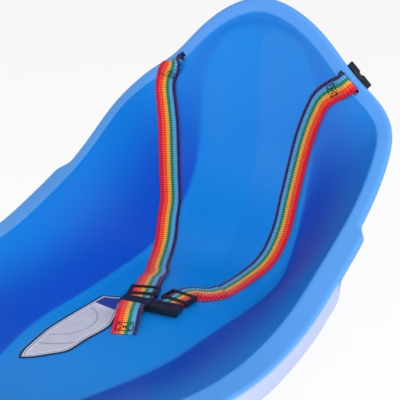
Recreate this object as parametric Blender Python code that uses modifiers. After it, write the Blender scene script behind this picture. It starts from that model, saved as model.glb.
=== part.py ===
# Child's plastic sled with a webbing harness, at its real size in metres.
# +Z is up, the nose points to -Y, and left is -X.
import math

import bmesh
import bpy
import numpy as np
from mathutils import Matrix, Vector

MM = 0.001

# Moulded wall of the tub
WALL = 3.0 * MM
CREASE_ROUND = 24.0 * MM
RIM_ROUND = 7.0 * MM
LIP_ROUND = 4.6 * MM
FLANGE = 14.5 * MM
GRIP_FLANGE = 23.5 * MM
EDGE_LIP = 5.5 * MM
GRIP_SKIRT = 20.0 * MM
GRIP_END = 176.0 * MM
GRIP_STEP = 18.0 * MM
SKIRT_END = 112.0 * MM
SKIRT_STEP = 13.0 * MM

# Tub, on its inner face, from the mirror plane, the middle of its length and the ground
FLOOR_HALF = 79.0 * MM
FLOOR_TIP = -150.0 * MM
BACK_HALF = 72.0 * MM
BACK_Y = 290.0 * MM
RIM_HALF = 166.0 * MM
RIM_LOW = 47.0 * MM
NOSE_Y = -278.5 * MM
NOSE_TOP = 95.0 * MM
BACK_TOP = 272.0 * MM

# Webbing, its slots and its slides
WEB = 25.0 * MM
WEB_THICK = 1.3 * MM
CLEAR = 0.35 * MM
WEB_LIFT = 2.0 * MM
SLOT_STATION = 13.1
SLOT_IN = 5.6 * MM
SLOT_LONG = 30.0 * MM
BAR = 2.6 * MM
PLATE_LONG = 34.0 * MM
ANCHOR_HIGH = 20.0 * MM
ANCHOR_REACH = 5.5 * MM
ANCHOR_NOTCH = 4.0 * MM
ANCHOR_THICK = 3.2 * MM
ADJUSTER_LONG = 32.0 * MM
ADJUSTER_DEEP = 20.0 * MM
ADJUSTER_HIGH = 6.0 * MM
ADJUSTER_BACK = 15.6 * MM
ADJUSTER_MIDDLE_BAR = 4.4 * MM
ADJUSTER_END_BAR = 3.4 * MM
SMALL_ROUND = 1.1 * MM
LEFT_HEADING = math.radians(23.5)
RIGHT_HEADING = math.radians(-3.0)
TAB_HEADING = math.radians(23.0)
TAB_LEVEL = 14.0 * MM
TAB_FOLD = 16.0 * MM

# Buckle, its middle in plan, its turn from +X and the height of its underside
BUCKLE_X = 1.5 * MM
BUCKLE_Y = 81.0 * MM
BUCKLE_Z = 4.0 * MM
BUCKLE_TURN = math.radians(10.0)
BUCKLE_DEEP = 15.0 * MM
BUCKLE_HIGH = 8.5 * MM
BUCKLE_END = 32.0 * MM
BUCKLE_WALL = 1.6 * MM
MOUTH = 1.0 * MM
CAVITY_LONG = 22.0 * MM
LOOP_MIDDLE = 16.3 * MM
TAB_MIDDLE = 14.2 * MM
LOOP_WALL = 1.9 * MM
PRONG_LONG = 16.0 * MM
PRONG_THICK = 1.4 * MM
PRONG_ROOT = 1.4 * MM
GUIDE_THICK = 1.8 * MM
THUMB_INSET = 3.0 * MM
THUMB_DEPTH = 1.2 * MM

# Rope holes in the nose, and the label on the floor
ROPE_HOLE = 9.0 * MM
ROPE_SPREAD = 90.0 * MM
LABEL_THICK = 0.3 * MM
# Each corner's place across in shares of half the floor's width, and its place along in millimetres
LABEL_OUTLINE = ((-0.52, -58), (-0.595, -46), (-0.71, -6), (-0.728, 28), (-0.728, 64), (-0.722, 80),
                 (-0.633, 84.5), (-0.456, 86.5), (-0.133, 34.5), (-0.146, -1.5), (-0.14, -22),
                 (-0.158, -29), (-0.392, -50))


def stations():
    """Guide points of the right half from nose to backrest top, in millimetres.

    Each row is the centre line (y, z), the crease (x, y, z), the rim (x, y, z)
    and the lean of the rim flange in degrees.
    """
    floor, half, tip = WALL / MM, FLOOR_HALF / MM, FLOOR_TIP / MM
    back, wall, top = BACK_HALF / MM, BACK_Y / MM, BACK_TOP / MM
    rim, low, nose, bow = RIM_HALF / MM, RIM_LOW / MM, NOSE_Y / MM, NOSE_TOP / MM
    return (
        ((tip + 32, floor), (0, tip, floor), (0, nose, bow), 0),
        ((tip + 40, floor), (half - 49, tip + 18, floor), (rim - 94, nose + 11, bow - 3), 0),
        ((tip + 68, floor), (half - 29, tip + 62, floor), (rim - 44, nose + 49, bow - 15), 0),
        ((-36, floor), (half - 12, -36, floor), (rim - 13, -161, low + 17), 0),
        ((10, floor), (half - 2, 12, floor), (rim, -85, low + 4), 0),
        ((62, floor), (half, 62, floor), (rim + 3, -15, low), 5),
        ((112, floor), (half + 3, 112, floor), (rim + 2, 55, low + 9), 15),
        ((160, floor), (half + 6, 160, floor + 1), (rim, 115, low + 30), 25),
        ((wall - 85, floor + 3), (half + 5, wall - 88, floor + 8), (rim - 1, 167, low + 53), 30),
        ((wall - 44, floor + 23), (back + 6, wall - 50, floor + 31), (rim - 2, 210, low + 79), 36),
        ((wall - 13, floor + 64), (back + 1, wall - 20, floor + 69), (rim - 6, wall - 45, low + 106), 45),
        ((wall + 1, floor + 111), (back, wall - 5, floor + 114), (rim - 16, wall - 22, top - 101), 58),
        ((wall + 5, top - 114), (back, wall, top - 112), (rim - 34, wall - 11, top - 86), 72),
        ((wall + 7, top - 80), (back - 4, wall + 2, top - 78), (rim - 58, wall - 4, top - 70), 80),
        ((wall + 8, top - 52), (back - 14, wall + 4, top - 48), (rim - 82, wall, top - 48), 84),
        ((wall + 9, top - 35), (back - 36, wall + 6, top - 24), (rim - 115, wall + 3, top - 19), 86),
        ((wall + 9, top - 29), (0, wall + 7, top - 16), (0, wall + 4, top), 87),
    )


# Courses of the straps over the tub. Each row gives the station and the place across
# of the navy edge, then of the red edge. The place across is 1 at the crease and 2 at the rim.
LEFT_COURSE = (
    (12.50, 1.62, 12.00, 2.00),
    (11.70, 1.37, 11.18, 1.72),
    (11.12, 1.30, 10.65, 1.57),
    (10.40, 1.22, 9.95, 1.44),
    (9.85, 1.13, 9.45, 1.32),
    (9.40, 1.04, 9.03, 1.22),
    (8.95, 0.96, 8.65, 1.13),
    (8.45, 0.85, 8.18, 1.02),
    (8.05, 0.75, 7.75, 0.95),
    (7.50, 0.58, 7.18, 0.85),
)
RIGHT_COURSE = (
    (13.20, 1.30, 12.60, 1.36),
    (12.85, 1.02, 12.33, 1.14),
    (12.40, 0.91, 11.95, 1.06),
    (11.93, 0.83, 11.53, 1.02),
    (11.43, 0.75, 11.12, 0.99),
    (10.95, 0.70, 10.68, 0.97),
    (10.50, 0.66, 10.30, 0.96),
    (10.03, 0.64, 9.87, 0.95),
    (9.55, 0.63, 9.40, 0.93),
    (9.10, 0.62, 9.00, 0.91),
    (8.72, 0.57, 8.60, 0.88),
    (8.35, 0.52, 8.25, 0.85),
    (8.05, 0.46, 7.93, 0.77),
    (7.62, 0.42, 7.55, 0.71),
)
# The right webbing on the floor, from its bar: across, back and down, and its turn in degrees
RIGHT_BEND = (
    (26.0, 67.5, 1.0, 10),
    (24.6, 57.0, 1.4, -8),
    (20.0, 47.5, 1.7, -28),
    (12.5, 41.0, 1.4, -34),
    (5.5, 37.0, 0.6, -18),
)
SPLIT_GAP = 0.3 * MM


def unit(vectors):
    """Scale each vector to length one."""
    return vectors / np.linalg.norm(vectors, axis=-1, keepdims=True)


def ease(value, low, high):
    """Smooth step from 0 at low to 1 at high."""
    t = np.clip((value - low) / (high - low), 0.0, 1.0)
    return t * t * (3.0 - 2.0 * t)


def curve(points, where, mirrored=False):
    """Smooth curve through points, read at the index numbers in where.

    A mirrored curve crosses the plane x = 0 square at both ends.
    """
    flip = np.array([-1.0, 1.0, 1.0]) if mirrored else 1.0
    ring = np.vstack([points[1] * flip, points, points[-2] * flip])
    where = np.clip(where, 0.0, len(points) - 1.0)
    index = np.minimum(where.astype(int), len(points) - 2)
    t = (where - index)[:, None]
    a, b, c, d = ring[index], ring[index + 1], ring[index + 2], ring[index + 3]
    square = (2 * a - 5 * b + 4 * c - d) * t ** 2
    return 0.5 * (2 * b + (c - a) * t + square + (3 * b - a - 3 * c + d) * t ** 3)


STATIONS = stations()
LAST_STATION = len(STATIONS) - 1
CENTRE = np.array([(0.0, *row[0]) for row in STATIONS]) * MM
CREASE = np.array([row[1] for row in STATIONS], float) * MM
RIM = np.array([row[2] for row in STATIONS], float) * MM
LEAN = np.radians([[row[3]] for row in STATIONS])


def rim_axes(where):
    """Rim points and three axes there: along the rim, up from the flange and outward over it."""
    nudge = 0.001
    ahead = curve(RIM, np.minimum(where + nudge, LAST_STATION), mirrored=True)
    behind = curve(RIM, np.maximum(where - nudge, 0.0), mirrored=True)
    along = unit(ahead - behind)
    lean = curve(LEAN, where)[:, 0]
    up = np.stack([np.zeros_like(lean), -np.sin(lean), np.cos(lean)], axis=1)
    up = unit(up - (up * along).sum(axis=1, keepdims=True) * along)
    return curve(RIM, where, mirrored=True), along, up, np.cross(along, up)


def flange_edges(where):
    """Outer edge of the rim flange, and the lower edge of the lip or skirt that hangs from it."""
    rim, along, up, outward = rim_axes(where)
    grip = 1.0 - ease(rim[:, 1:2], GRIP_END - GRIP_STEP, GRIP_END)
    skirt = 1.0 - ease(rim[:, 1:2], SKIRT_END - SKIRT_STEP, SKIRT_END)
    edge = rim + outward * (FLANGE + (GRIP_FLANGE - FLANGE) * grip)
    return edge, edge - up * (EDGE_LIP + (GRIP_SKIRT - EDGE_LIP) * skirt)


def rounded(before, corner, after, radius, steps, share=0.45):
    """Points of a round corner: a quadratic arc whose legs are alike and stay within a share of each side."""
    near = np.linalg.norm(before - corner, axis=1, keepdims=True)
    far = np.linalg.norm(after - corner, axis=1, keepdims=True)
    leg = np.minimum(radius, np.minimum(0.45 * near, share * far))
    start = corner + (before - corner) / near * leg
    end = corner + (after - corner) / far * leg
    return [(1 - t) ** 2 * start + 2 * t * (1 - t) * corner + t * t * end for t in np.linspace(0, 1, steps + 1)]


PANEL_STEPS = 3
CREASE_STEPS = 4
SIDE_STEPS = 3
CORNER_STEPS = 3
STATION_STEP = 0.4
# Places across the tub of its rows: 0 centre line, 1 crease, 2 rim, 3 flange edge, 4 lip or skirt edge
ACROSS = np.concatenate([
    np.linspace(0.0, 0.8, PANEL_STEPS + 1)[:-1],
    np.linspace(0.8, 1.2, CREASE_STEPS + 1),
    np.linspace(1.2, 1.9, SIDE_STEPS + 1)[1:-1],
    np.linspace(1.9, 2.1, CORNER_STEPS + 1),
    np.linspace(2.9, 3.1, CORNER_STEPS + 1),
    [4.0],
])


def tub_rows(where):
    """Inner face of the right half: one row of points for each place across, at the stations in where."""
    centre = curve(CENTRE, where, mirrored=True)
    crease = curve(CREASE, where, mirrored=True)
    rim = curve(RIM, where, mirrored=True)
    for line in (centre, crease):
        line[:, 2] = np.maximum(line[:, 2], WALL)
    edge, hem = flange_edges(where)
    low = rounded(centre, crease, rim, CREASE_ROUND, CREASE_STEPS)
    high = rounded(crease, rim, edge, RIM_ROUND, CORNER_STEPS)
    lip = rounded(rim, edge, hem, LIP_ROUND, CORNER_STEPS, share=0.85)
    panel = [centre + (low[0] - centre) * t for t in np.linspace(0, 1, PANEL_STEPS + 1)[:-1]]
    side = [low[-1] + (high[0] - low[-1]) * t for t in np.linspace(0, 1, SIDE_STEPS + 1)[1:-1]]
    return np.array(panel + low + side + high + lip + [hem])


def on_tub(station, across, side):
    """Point of the tub's inner face and its normal there, side 1 for the right half and -1 for the left."""
    step = 0.02
    rows = tub_rows(np.array([station - step, station, station + step]))

    def read(place, column):
        return np.array([np.interp(place, ACROSS, rows[:, column, axis]) for axis in range(3)])

    along = read(across, 2) - read(across, 0)
    outward = read(across + step, 1) - read(across - step, 1)
    normal = unit(np.cross(outward, along))
    inward = np.array([0.0, -1.0, 1.0])
    normal = normal if normal @ inward > 0.0 else -normal
    flip = np.array([side, 1.0, 1.0])
    return read(across, 1) * flip, normal * flip


def material(name, colour, roughness):
    """Principled material of one colour, given in linear values."""
    made = bpy.data.materials.new(name)
    made.use_nodes = True
    shader = made.node_tree.nodes["Principled BSDF"]
    shader.inputs["Base Color"].default_value = (*colour, 1.0)
    shader.inputs["Roughness"].default_value = roughness
    shader.inputs["Metallic"].default_value = 0.0
    return made


def add_piece(name, data, finish, matrix=None):
    """A named piece of the sled."""
    piece = bpy.data.objects.new(name, data)
    data.materials.append(finish)
    PARTS.objects.link(piece)
    piece.matrix_world = matrix or Matrix.Identity(4)
    return piece


def add_tool(piece, suffix, mesh, matrix, operation):
    """A hidden shape that cuts a piece or joins it, and the Boolean that does so."""
    tool = bpy.data.objects.new(piece.name + "_" + suffix, mesh)
    tool.hide_render = True
    tool.display_type = "WIRE"
    CUTTERS.objects.link(tool)
    tool.matrix_world = matrix
    change = piece.modifiers.new(suffix, "BOOLEAN")
    change.operation = operation
    change.object = tool
    change.solver = "EXACT"


def bevel(piece, width):
    """Round the sharp edges of a piece."""
    change = piece.modifiers.new("rounding", "BEVEL")
    change.width = width
    change.segments = 2
    change.limit_method = "ANGLE"
    change.angle_limit = math.radians(40.0)


def box_mesh(name, low, high):
    """Box between two corners."""
    mesh = bpy.data.meshes.new(name)
    shape = bmesh.new()
    bmesh.ops.create_cube(shape, size=1.0)
    low, high = Vector(low), Vector(high)
    place = Matrix.Translation((low + high) / 2) @ Matrix.Diagonal((*(high - low), 1.0))
    bmesh.ops.transform(shape, matrix=place, verts=shape.verts)
    shape.to_mesh(mesh)
    shape.free()
    return mesh


def rod_mesh(name, radius, length, sides, place):
    """Closed round bar, made along Z and then moved by place."""
    mesh = bpy.data.meshes.new(name)
    shape = bmesh.new()
    bmesh.ops.create_cone(shape, cap_ends=True, segments=sides, radius1=radius, radius2=radius, depth=length)
    bmesh.ops.transform(shape, matrix=place, verts=shape.verts)
    shape.to_mesh(mesh)
    shape.free()
    return mesh


def flat_shape(name, outline, thickness, finish, matrix):
    """Flat piece: a filled outline given as (x, y), extruded half its thickness each way."""
    data = bpy.data.curves.new(name, "CURVE")
    data.dimensions = "2D"
    data.fill_mode = "BOTH"
    data.extrude = thickness / 2
    line = data.splines.new("POLY")
    line.points.add(len(outline) - 1)
    for point, (x, y) in zip(line.points, outline):
        point.co = (x, y, 0.0, 1.0)
    line.use_cyclic_u = True
    return add_piece(name, data, finish, matrix)


def axes_matrix(origin, x_axis, y_axis, z_axis):
    """Matrix that carries X, Y and Z to the given axes at the given origin."""
    return Matrix([[*map(float, row)] for row in np.array([x_axis, y_axis, z_axis, origin]).T] + [[0, 0, 0, 1]])


def smooth_path(stops, spacing):
    """Smooth line through the stops, whose speed follows their distances, so unlike gaps don't loop."""
    stops = np.array([np.concatenate(stop) for stop in stops])
    steps = np.diff(stops, axis=0)
    gaps = np.linalg.norm(steps[:, :3], axis=1, keepdims=True)
    slopes = steps / gaps
    inner = (slopes[:-1] * gaps[1:] + slopes[1:] * gaps[:-1]) / (gaps[1:] + gaps[:-1])
    speed = np.vstack([slopes[:1], inner, slopes[-1:]])
    line = []
    for index, gap in enumerate(gaps[:, 0]):
        parts = max(1, round(gap / spacing))
        t = (np.arange(parts) / parts)[:, None]
        start, end = stops[index], stops[index + 1]
        bend = start * (2 * t ** 3 - 3 * t ** 2 + 1) + end * (3 * t ** 2 - 2 * t ** 3)
        pull = speed[index] * (t ** 3 - 2 * t ** 2 + t) + speed[index + 1] * (t ** 3 - t ** 2)
        line.append(bend + pull * gap)
    line = np.vstack(line + [stops[-1:]])
    return line[:, :3], unit(line[:, 3:])


def webbing(name, stops, finish, thick=None):
    """Flat webbing along its stops. A stop is a middle point and the direction across, navy edge to red edge.

    thick gives the share of double thickness at each ring, as a function of the distance run from the start.
    """
    path, across = smooth_path(stops, 7 * MM)
    facing = unit(np.cross(np.gradient(path, axis=0), across))
    run = np.concatenate([[0.0], np.cumsum(np.linalg.norm(np.diff(path, axis=0), axis=1))])
    depth = WEB_THICK * (1.0 + (thick(run, run[-1]) if thick else 0.0 * run))[:, None]
    side = across * WEB / 2
    low = path - facing * WEB_THICK / 2
    high = low + facing * depth
    rings = np.stack([low - side, low + side, high + side, high - side], axis=1)
    last = 4 * len(path) - 4
    faces = [(3, 2, 1, 0), (last, last + 1, last + 2, last + 3)]
    for ring in range(0, last, 4):
        for a, b in ((0, 1), (1, 2), (2, 3), (3, 0)):
            faces.append((ring + a, ring + b, ring + 4 + b, ring + 4 + a))
    mesh = bpy.data.meshes.new(name)
    mesh.from_pydata(rings.reshape(-1, 3).tolist(), [], faces)
    shape = bmesh.new()
    shape.from_mesh(mesh)
    bmesh.ops.recalc_face_normals(shape, faces=shape.faces)
    shape.to_mesh(mesh)
    shape.free()
    return add_piece(name, mesh, finish)


# Webbing that turns round a bar runs on both sides of it at this distance from its middle
LAYER = BAR / 2 + CLEAR + WEB_THICK / 2
SLOT_HIGH = 2 * (LAYER + WEB_THICK / 2 + CLEAR)
PLATE_FACE = EDGE_LIP + CLEAR
PLATE_TURN = PLATE_FACE + ANCHOR_THICK - 0.6 * MM
SEWN_END = 8.0 * MM
TURN_STEPS = np.radians(np.arange(0, 181, 30))


def slot_axes(side):
    """Middle of a strap slot on the inner face, then the axes along the rim, to its edge and out of the back."""
    rim, along, up, outward = (value[0] for value in rim_axes(np.array([SLOT_STATION])))
    flip = np.array([side, 1.0, 1.0])
    return (rim + outward * SLOT_IN) * flip, along * flip, outward * flip, -up * flip


def rope_hole(side):
    """Middle of the nose flange where the tow rope passes through."""
    where = np.linspace(0.0, 2.0, 81)
    middle = (curve(RIM, where, mirrored=True) + flange_edges(where)[0]) / 2
    spot = [np.interp(ROPE_SPREAD / 2, middle[:, 0], middle[:, axis]) for axis in range(3)]
    return Vector((side * spot[0], spot[1], spot[2]))


def make_shell(finish):
    """The moulded tub: half of its inner face, mirrored and given its wall, with its four holes cut out."""
    where = np.arange(0.0, LAST_STATION + STATION_STEP / 2, STATION_STEP)
    rows = tub_rows(where)
    wide, count = rows.shape[:2]
    points = rows.transpose(1, 0, 2).reshape(-1, 3)
    points[:, 0] = np.where(np.abs(points[:, 0]) < 0.001 * MM, 0.0, points[:, 0])
    faces = [(a * wide + b, a * wide + b + 1, (a + 1) * wide + b + 1, (a + 1) * wide + b)
             for a in range(count - 1) for b in range(wide - 1)]
    mesh = bpy.data.meshes.new("sled_shell")
    mesh.from_pydata(points.tolist(), [], faces)
    shell = add_piece("sled_shell", mesh, finish)
    mirror = shell.modifiers.new("mirror", "MIRROR")
    mirror.merge_threshold = 0.05 * MM
    wall = shell.modifiers.new("wall", "SOLIDIFY")
    wall.thickness = WALL
    wall.offset = -1.0
    wall.use_even_offset = True
    for side, name in ((1.0, "right"), (-1.0, "left")):
        middle, along, outward, behind = slot_axes(side)
        half = Vector((SLOT_LONG / 2, SLOT_HIGH / 2, 2.5 * WALL))
        mesh = box_mesh(name + "_slot", -half, half)
        add_tool(shell, name + "_slot", mesh, axes_matrix(middle, along * side, outward, behind), "DIFFERENCE")
        mesh = rod_mesh(name + "_rope_hole", ROPE_HOLE / 2, 6 * WALL, 16, Matrix.Identity(4))
        add_tool(shell, name + "_rope_hole", mesh, Matrix.Translation(rope_hole(side)), "DIFFERENCE")


BUCKLE = Matrix.Translation((BUCKLE_X, BUCKLE_Y, BUCKLE_Z)) @ Matrix.Rotation(BUCKLE_TURN, 4, "Z")
HALF_DEEP = BUCKLE_DEEP / 2
CAVITY_HALF = HALF_DEEP - BUCKLE_WALL
LOOP_OUT = HALF_DEEP + CLEAR + WEB_THICK + CLEAR + BAR / 2
# The rear bars lie low, so that the webbing under them clears the floor
LOOP_UP = WALL + CLEAR + WEB_THICK / 2 + LAYER - BUCKLE_Z
TAB_UP = BUCKLE_HIGH - 1.1 * MM
LOOP_HALF = WEB / 2 + CLEAR + LOOP_WALL


def buckle_point(x, y, z):
    """Place in the part of a point of the buckle's own frame."""
    return np.array(BUCKLE @ Vector((x, y, z)))


def buckle_box(piece, suffix, low, high, operation):
    """Join a box of the buckle's own frame to a piece, or cut it out."""
    add_tool(piece, suffix, box_mesh(piece.name + "_" + suffix, low, high), BUCKLE, operation)


def add_loop(piece, suffix, middle, side, up):
    """A round bar on two short arms, which the webbing turns round."""
    arm = BAR / 2 + 0.15 * MM
    inner = HALF_DEEP - BUCKLE_WALL / 2
    outer = LOOP_OUT + arm
    for end, name in ((-1, "_left_arm"), (1, "_right_arm")):
        place = middle + end * (LOOP_HALF - LOOP_WALL / 2)
        reach = sorted((side * inner, side * outer))
        low = (place - LOOP_WALL / 2, reach[0], up - arm)
        high = (place + LOOP_WALL / 2, reach[1], up + arm)
        buckle_box(piece, suffix + name, low, high, "UNION")
    along_x = Matrix.Rotation(math.pi / 2, 4, "Y")
    place = Matrix.Translation((middle, side * LOOP_OUT, up)) @ along_x
    length = 2 * LOOP_HALF - LOOP_WALL
    add_tool(piece, suffix + "_bar", rod_mesh(suffix, BAR / 2, length, 12, place), BUCKLE, "UNION")


INSIDE_LOW = BUCKLE_WALL + 0.1 * MM
INSIDE_HIGH = BUCKLE_HIGH - BUCKLE_WALL - 0.1 * MM
PRONG_LOW = INSIDE_LOW + CLEAR
PRONG_HIGH = INSIDE_HIGH - CLEAR
PRONG_OUT = CAVITY_HALF - CLEAR
ROOT_X = MOUTH - 2.3 * MM
ROOT_Y = PRONG_OUT - PRONG_ROOT - 0.1 * MM
NECK_HALF = ROOT_Y - PRONG_ROOT - CLEAR


def make_socket(finish):
    """Housing of the buckle: hollow, open at its mouth, with a window in each side and two strap loops."""
    mesh = box_mesh("buckle_socket", (-BUCKLE_END, -HALF_DEEP, 0.0), (MOUTH, HALF_DEEP, BUCKLE_HIGH))
    socket = add_piece("buckle_socket", mesh, finish, BUCKLE)
    bevel(socket, SMALL_ROUND)
    add_loop(socket, "strap_loop", -LOOP_MIDDLE, 1, LOOP_UP)
    add_loop(socket, "tab_loop", -TAB_MIDDLE, -1, TAB_UP)
    cavity = (MOUTH - CAVITY_LONG, -CAVITY_HALF, INSIDE_LOW), (2 * MOUTH, CAVITY_HALF, INSIDE_HIGH)
    buckle_box(socket, "cavity", *cavity, "DIFFERENCE")
    window = ROOT_X - PRONG_LONG - CLEAR, ROOT_X - PRONG_LONG / 2
    sill = 0.3 * MM
    low = (window[0], -BUCKLE_DEEP, INSIDE_LOW + sill)
    high = (window[1], BUCKLE_DEEP, INSIDE_HIGH - sill)
    buckle_box(socket, "windows", low, high, "DIFFERENCE")


def make_tongue(finish):
    """Plug half of the buckle, without its prongs: grip block, neck, guide bar and strap loop."""
    start = MOUTH + CLEAR
    mesh = box_mesh("buckle_tongue", (start, -HALF_DEEP, 0.0), (BUCKLE_END, HALF_DEEP, BUCKLE_HIGH))
    tongue = add_piece("buckle_tongue", mesh, finish, BUCKLE)
    bevel(tongue, SMALL_ROUND)
    add_loop(tongue, "strap_loop", LOOP_MIDDLE, 1, LOOP_UP)
    neck = (ROOT_X - PRONG_ROOT, -NECK_HALF, PRONG_LOW), (start + WALL, NECK_HALF, PRONG_HIGH)
    buckle_box(tongue, "neck", *neck, "UNION")
    guide = 0.1 * MM
    low = (ROOT_X - PRONG_LONG, -GUIDE_THICK / 2, PRONG_LOW + guide)
    high = (start + BAR, GUIDE_THICK / 2, PRONG_HIGH - guide)
    buckle_box(tongue, "guide", low, high, "UNION")
    low = (start + 2 * THUMB_INSET, THUMB_INSET - HALF_DEEP, BUCKLE_HIGH - THUMB_DEPTH)
    high = (BUCKLE_END - 2 * THUMB_INSET, HALF_DEEP - THUMB_INSET, 2 * BUCKLE_HIGH)
    buckle_box(tongue, "thumb_recess", low, high, "DIFFERENCE")


def make_prong(name, side, finish):
    """Spring prong: a round root, a thin arm and a knob that shows in the socket's window."""
    root = np.radians(np.arange(-90, 91, 30))
    outline = [(PRONG_ROOT * math.cos(turn), PRONG_ROOT * math.sin(turn)) for turn in root]
    arm = PRONG_THICK / 2
    knob = PRONG_OUT - ROOT_Y
    tip = -PRONG_LONG
    outline += [(-PRONG_ROOT, arm), (tip / 2 - 1.2 * MM, arm), (tip / 2 - 2.4 * MM, knob)]
    outline += [(tip + 2 * MM, knob), (tip, 0.3 * MM), (tip, -arm), (-PRONG_ROOT, -arm)]
    outline = [(x, side * y) for x, y in outline][::side]
    middle = (PRONG_LOW + PRONG_HIGH) / 2
    place = BUCKLE @ Matrix.Translation((ROOT_X, side * ROOT_Y, middle))
    flat_shape(name, outline, PRONG_HIGH - PRONG_LOW, finish, place)


def heading_axes(angle):
    """Level axes of webbing whose way forward is turned by angle from -Y: back along it, and across to +X."""
    return np.array([-math.sin(angle), math.cos(angle), 0.0]), np.array([math.cos(angle), math.sin(angle), 0.0])


LOOP_AXIS = buckle_point(1, 0, 0) - buckle_point(0, 0, 0)
UP = np.array([0.0, 0.0, 1.0])


def adjuster_place(side):
    """Bar of a strap, the way back along it and across it, and the middle of its adjuster's underside."""
    bar = buckle_point(side * LOOP_MIDDLE, LOOP_OUT, LOOP_UP)
    back, across = heading_axes(RIGHT_HEADING if side > 0 else LEFT_HEADING)
    return bar, back, across, bar + back * ADJUSTER_BACK + UP * (LAYER - ADJUSTER_HIGH / 2)


def make_adjuster(name, side, finish):
    """Three-bar slide: two end bars over the webbing and a middle bar under it."""
    bar, back, across, middle = adjuster_place(side)
    place = axes_matrix(middle, across, back, UP)
    x, y, z = ADJUSTER_LONG / 2, ADJUSTER_DEEP / 2, ADJUSTER_HIGH
    piece = add_piece(name, box_mesh(name, (-x, -y, 0.0), (x, y, z)), finish, place)
    bevel(piece, SMALL_ROUND)
    half = WEB / 2 + 2 * CLEAR
    under = z / 2 - WEB_THICK / 2 - CLEAR
    over = z / 2 + WEB_THICK / 2 + CLEAR
    low_bar = ADJUSTER_MIDDLE_BAR / 2
    high_gap = y - ADJUSTER_END_BAR
    cuts = (
        ("tunnel", (-half, -2 * y, under), (half, 2 * y, over)),
        ("front_gap", (-half, -2 * y, -z), (half, -low_bar, z / 2)),
        ("rear_gap", (-half, low_bar, -z), (half, 2 * y, z / 2)),
        ("top_gap", (-half, -high_gap, z / 2), (half, high_gap, 2 * z)),
    )
    for suffix, low, high in cuts:
        add_tool(piece, suffix, box_mesh(name + "_" + suffix, low, high), place, "DIFFERENCE")


def make_anchor(name, side, finish):
    """Flat slide behind the backrest, with two slots, whose middle bar holds the sewn loop of a strap.

    The right one's outer bar is wider, notched, and stands out past the rim.
    """
    middle, along, outward, behind = slot_axes(side)
    place = axes_matrix(middle + behind * PLATE_FACE, along * side, outward, behind)
    x, y = PLATE_LONG / 2, ANCHOR_HIGH / 2
    edge = y + ANCHOR_REACH if side > 0 else y
    piece = add_piece(name, box_mesh(name, (-x, -y, 0.0), (x, edge, ANCHOR_THICK)), finish, place)
    bevel(piece, SMALL_ROUND)
    half = WEB / 2 + 2 * CLEAR
    slot = BAR / 2, BAR / 2 + WEB_THICK + 3 * CLEAR
    for suffix, low, high in (("upper_slot", slot[0], slot[1]), ("lower_slot", -slot[1], -slot[0])):
        mesh = box_mesh(name + "_" + suffix, (-half, low, -y), (half, high, y))
        add_tool(piece, suffix, mesh, place, "DIFFERENCE")
    if side > 0:
        at_edge = Matrix.Translation((0.0, edge + ANCHOR_NOTCH / 2, 0.0))
        mesh = rod_mesh(name + "_notch", ANCHOR_NOTCH, 4 * ANCHOR_THICK, 16, at_edge)
        add_tool(piece, "notch", mesh, place, "DIFFERENCE")


def anchor_stops(side):
    """Stops from the sewn end inside, out through the slot, round the anchor's bar and back in."""
    middle, along, outward, behind = slot_axes(side)
    across = -along
    rest = WEB_THICK / 2 + CLEAR
    above = rest + WEB_THICK + CLEAR

    def stop(out, back):
        return middle + outward * out + behind * back, across

    lip = SLOT_HIGH / 2
    stops = [stop(-lip - SEWN_END, -rest), stop(-lip - SEWN_END / 2, -rest)]
    stops += [stop(-lip - 2 * CLEAR, -above + CLEAR), stop(CLEAR - lip + WEB_THICK / 2, -WEB_THICK / 2)]
    stops += [stop(-LAYER, 0.4 * WALL), stop(-LAYER, PLATE_FACE)]
    stops += [stop(-LAYER * math.cos(turn), PLATE_TURN + LAYER * math.sin(turn)) for turn in TURN_STEPS]
    stops += [stop(LAYER, PLATE_FACE), stop(LAYER, 0.0), stop(LAYER - 1.2 * MM, -above - 1.0 * MM)]
    stops += [stop(-3.0 * MM, -above - WEB_THICK - CLEAR)]
    return stops


def course_stops(course, side):
    """Stops of a strap over the tub's inner face, lifted clear of it, and at the first stop of its sewn end."""
    stops = []
    lift = WEB_LIFT + WEB_THICK + CLEAR
    for navy_station, navy_across, red_station, red_across in course:
        navy, navy_normal = on_tub(navy_station, navy_across, side)
        red, red_normal = on_tub(red_station, red_across, side)
        stops.append(((navy + red) / 2 + unit(navy_normal + red_normal) * lift, unit(red - navy)))
        lift = WEB_LIFT
    return stops


def bar_stops(bar, back, across, axis):
    """Stops over a bar, round its far side and back under it. The webbing comes in along -back."""
    forward = np.cross(UP, axis)
    forward = forward if forward @ back < 0 else -forward
    stops = [(bar + UP * LAYER + back * (LAYER + 1.5 * MM), unit(across + 2 * axis))]
    stops += [(bar + LAYER * (UP * math.cos(turn) + forward * math.sin(turn)), axis) for turn in TURN_STEPS]
    stops += [(bar - UP * LAYER + back * (LAYER + 1.5 * MM), unit(across + 2 * axis))]
    return stops


def make_left_strap(finish):
    """Left webbing: anchor loop, the wing of the backrest, the adjuster, and the loop on the socket."""
    bar, back, across, _ = adjuster_place(-1)
    across = -across
    axis = -LOOP_AXIS
    stops = anchor_stops(-1) + course_stops(LEFT_COURSE, -1)
    straight = (60, 46, 33, 20, 8)
    stops += [(bar + UP * LAYER + back * distance * MM, across) for distance in straight]
    stops += bar_stops(bar, back, across, axis)
    stops += [(bar - UP * LAYER + back * distance * MM, across) for distance in straight[::-1]]
    webbing("left_strap", stops, finish)


def right_split():
    """Middle of the cut across the right webbing, where its end parts from it."""
    x, y, down, _ = RIGHT_BEND[0]
    return adjuster_place(1)[0] + np.array([x * MM, y * MM, LAYER - down * MM])


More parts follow.
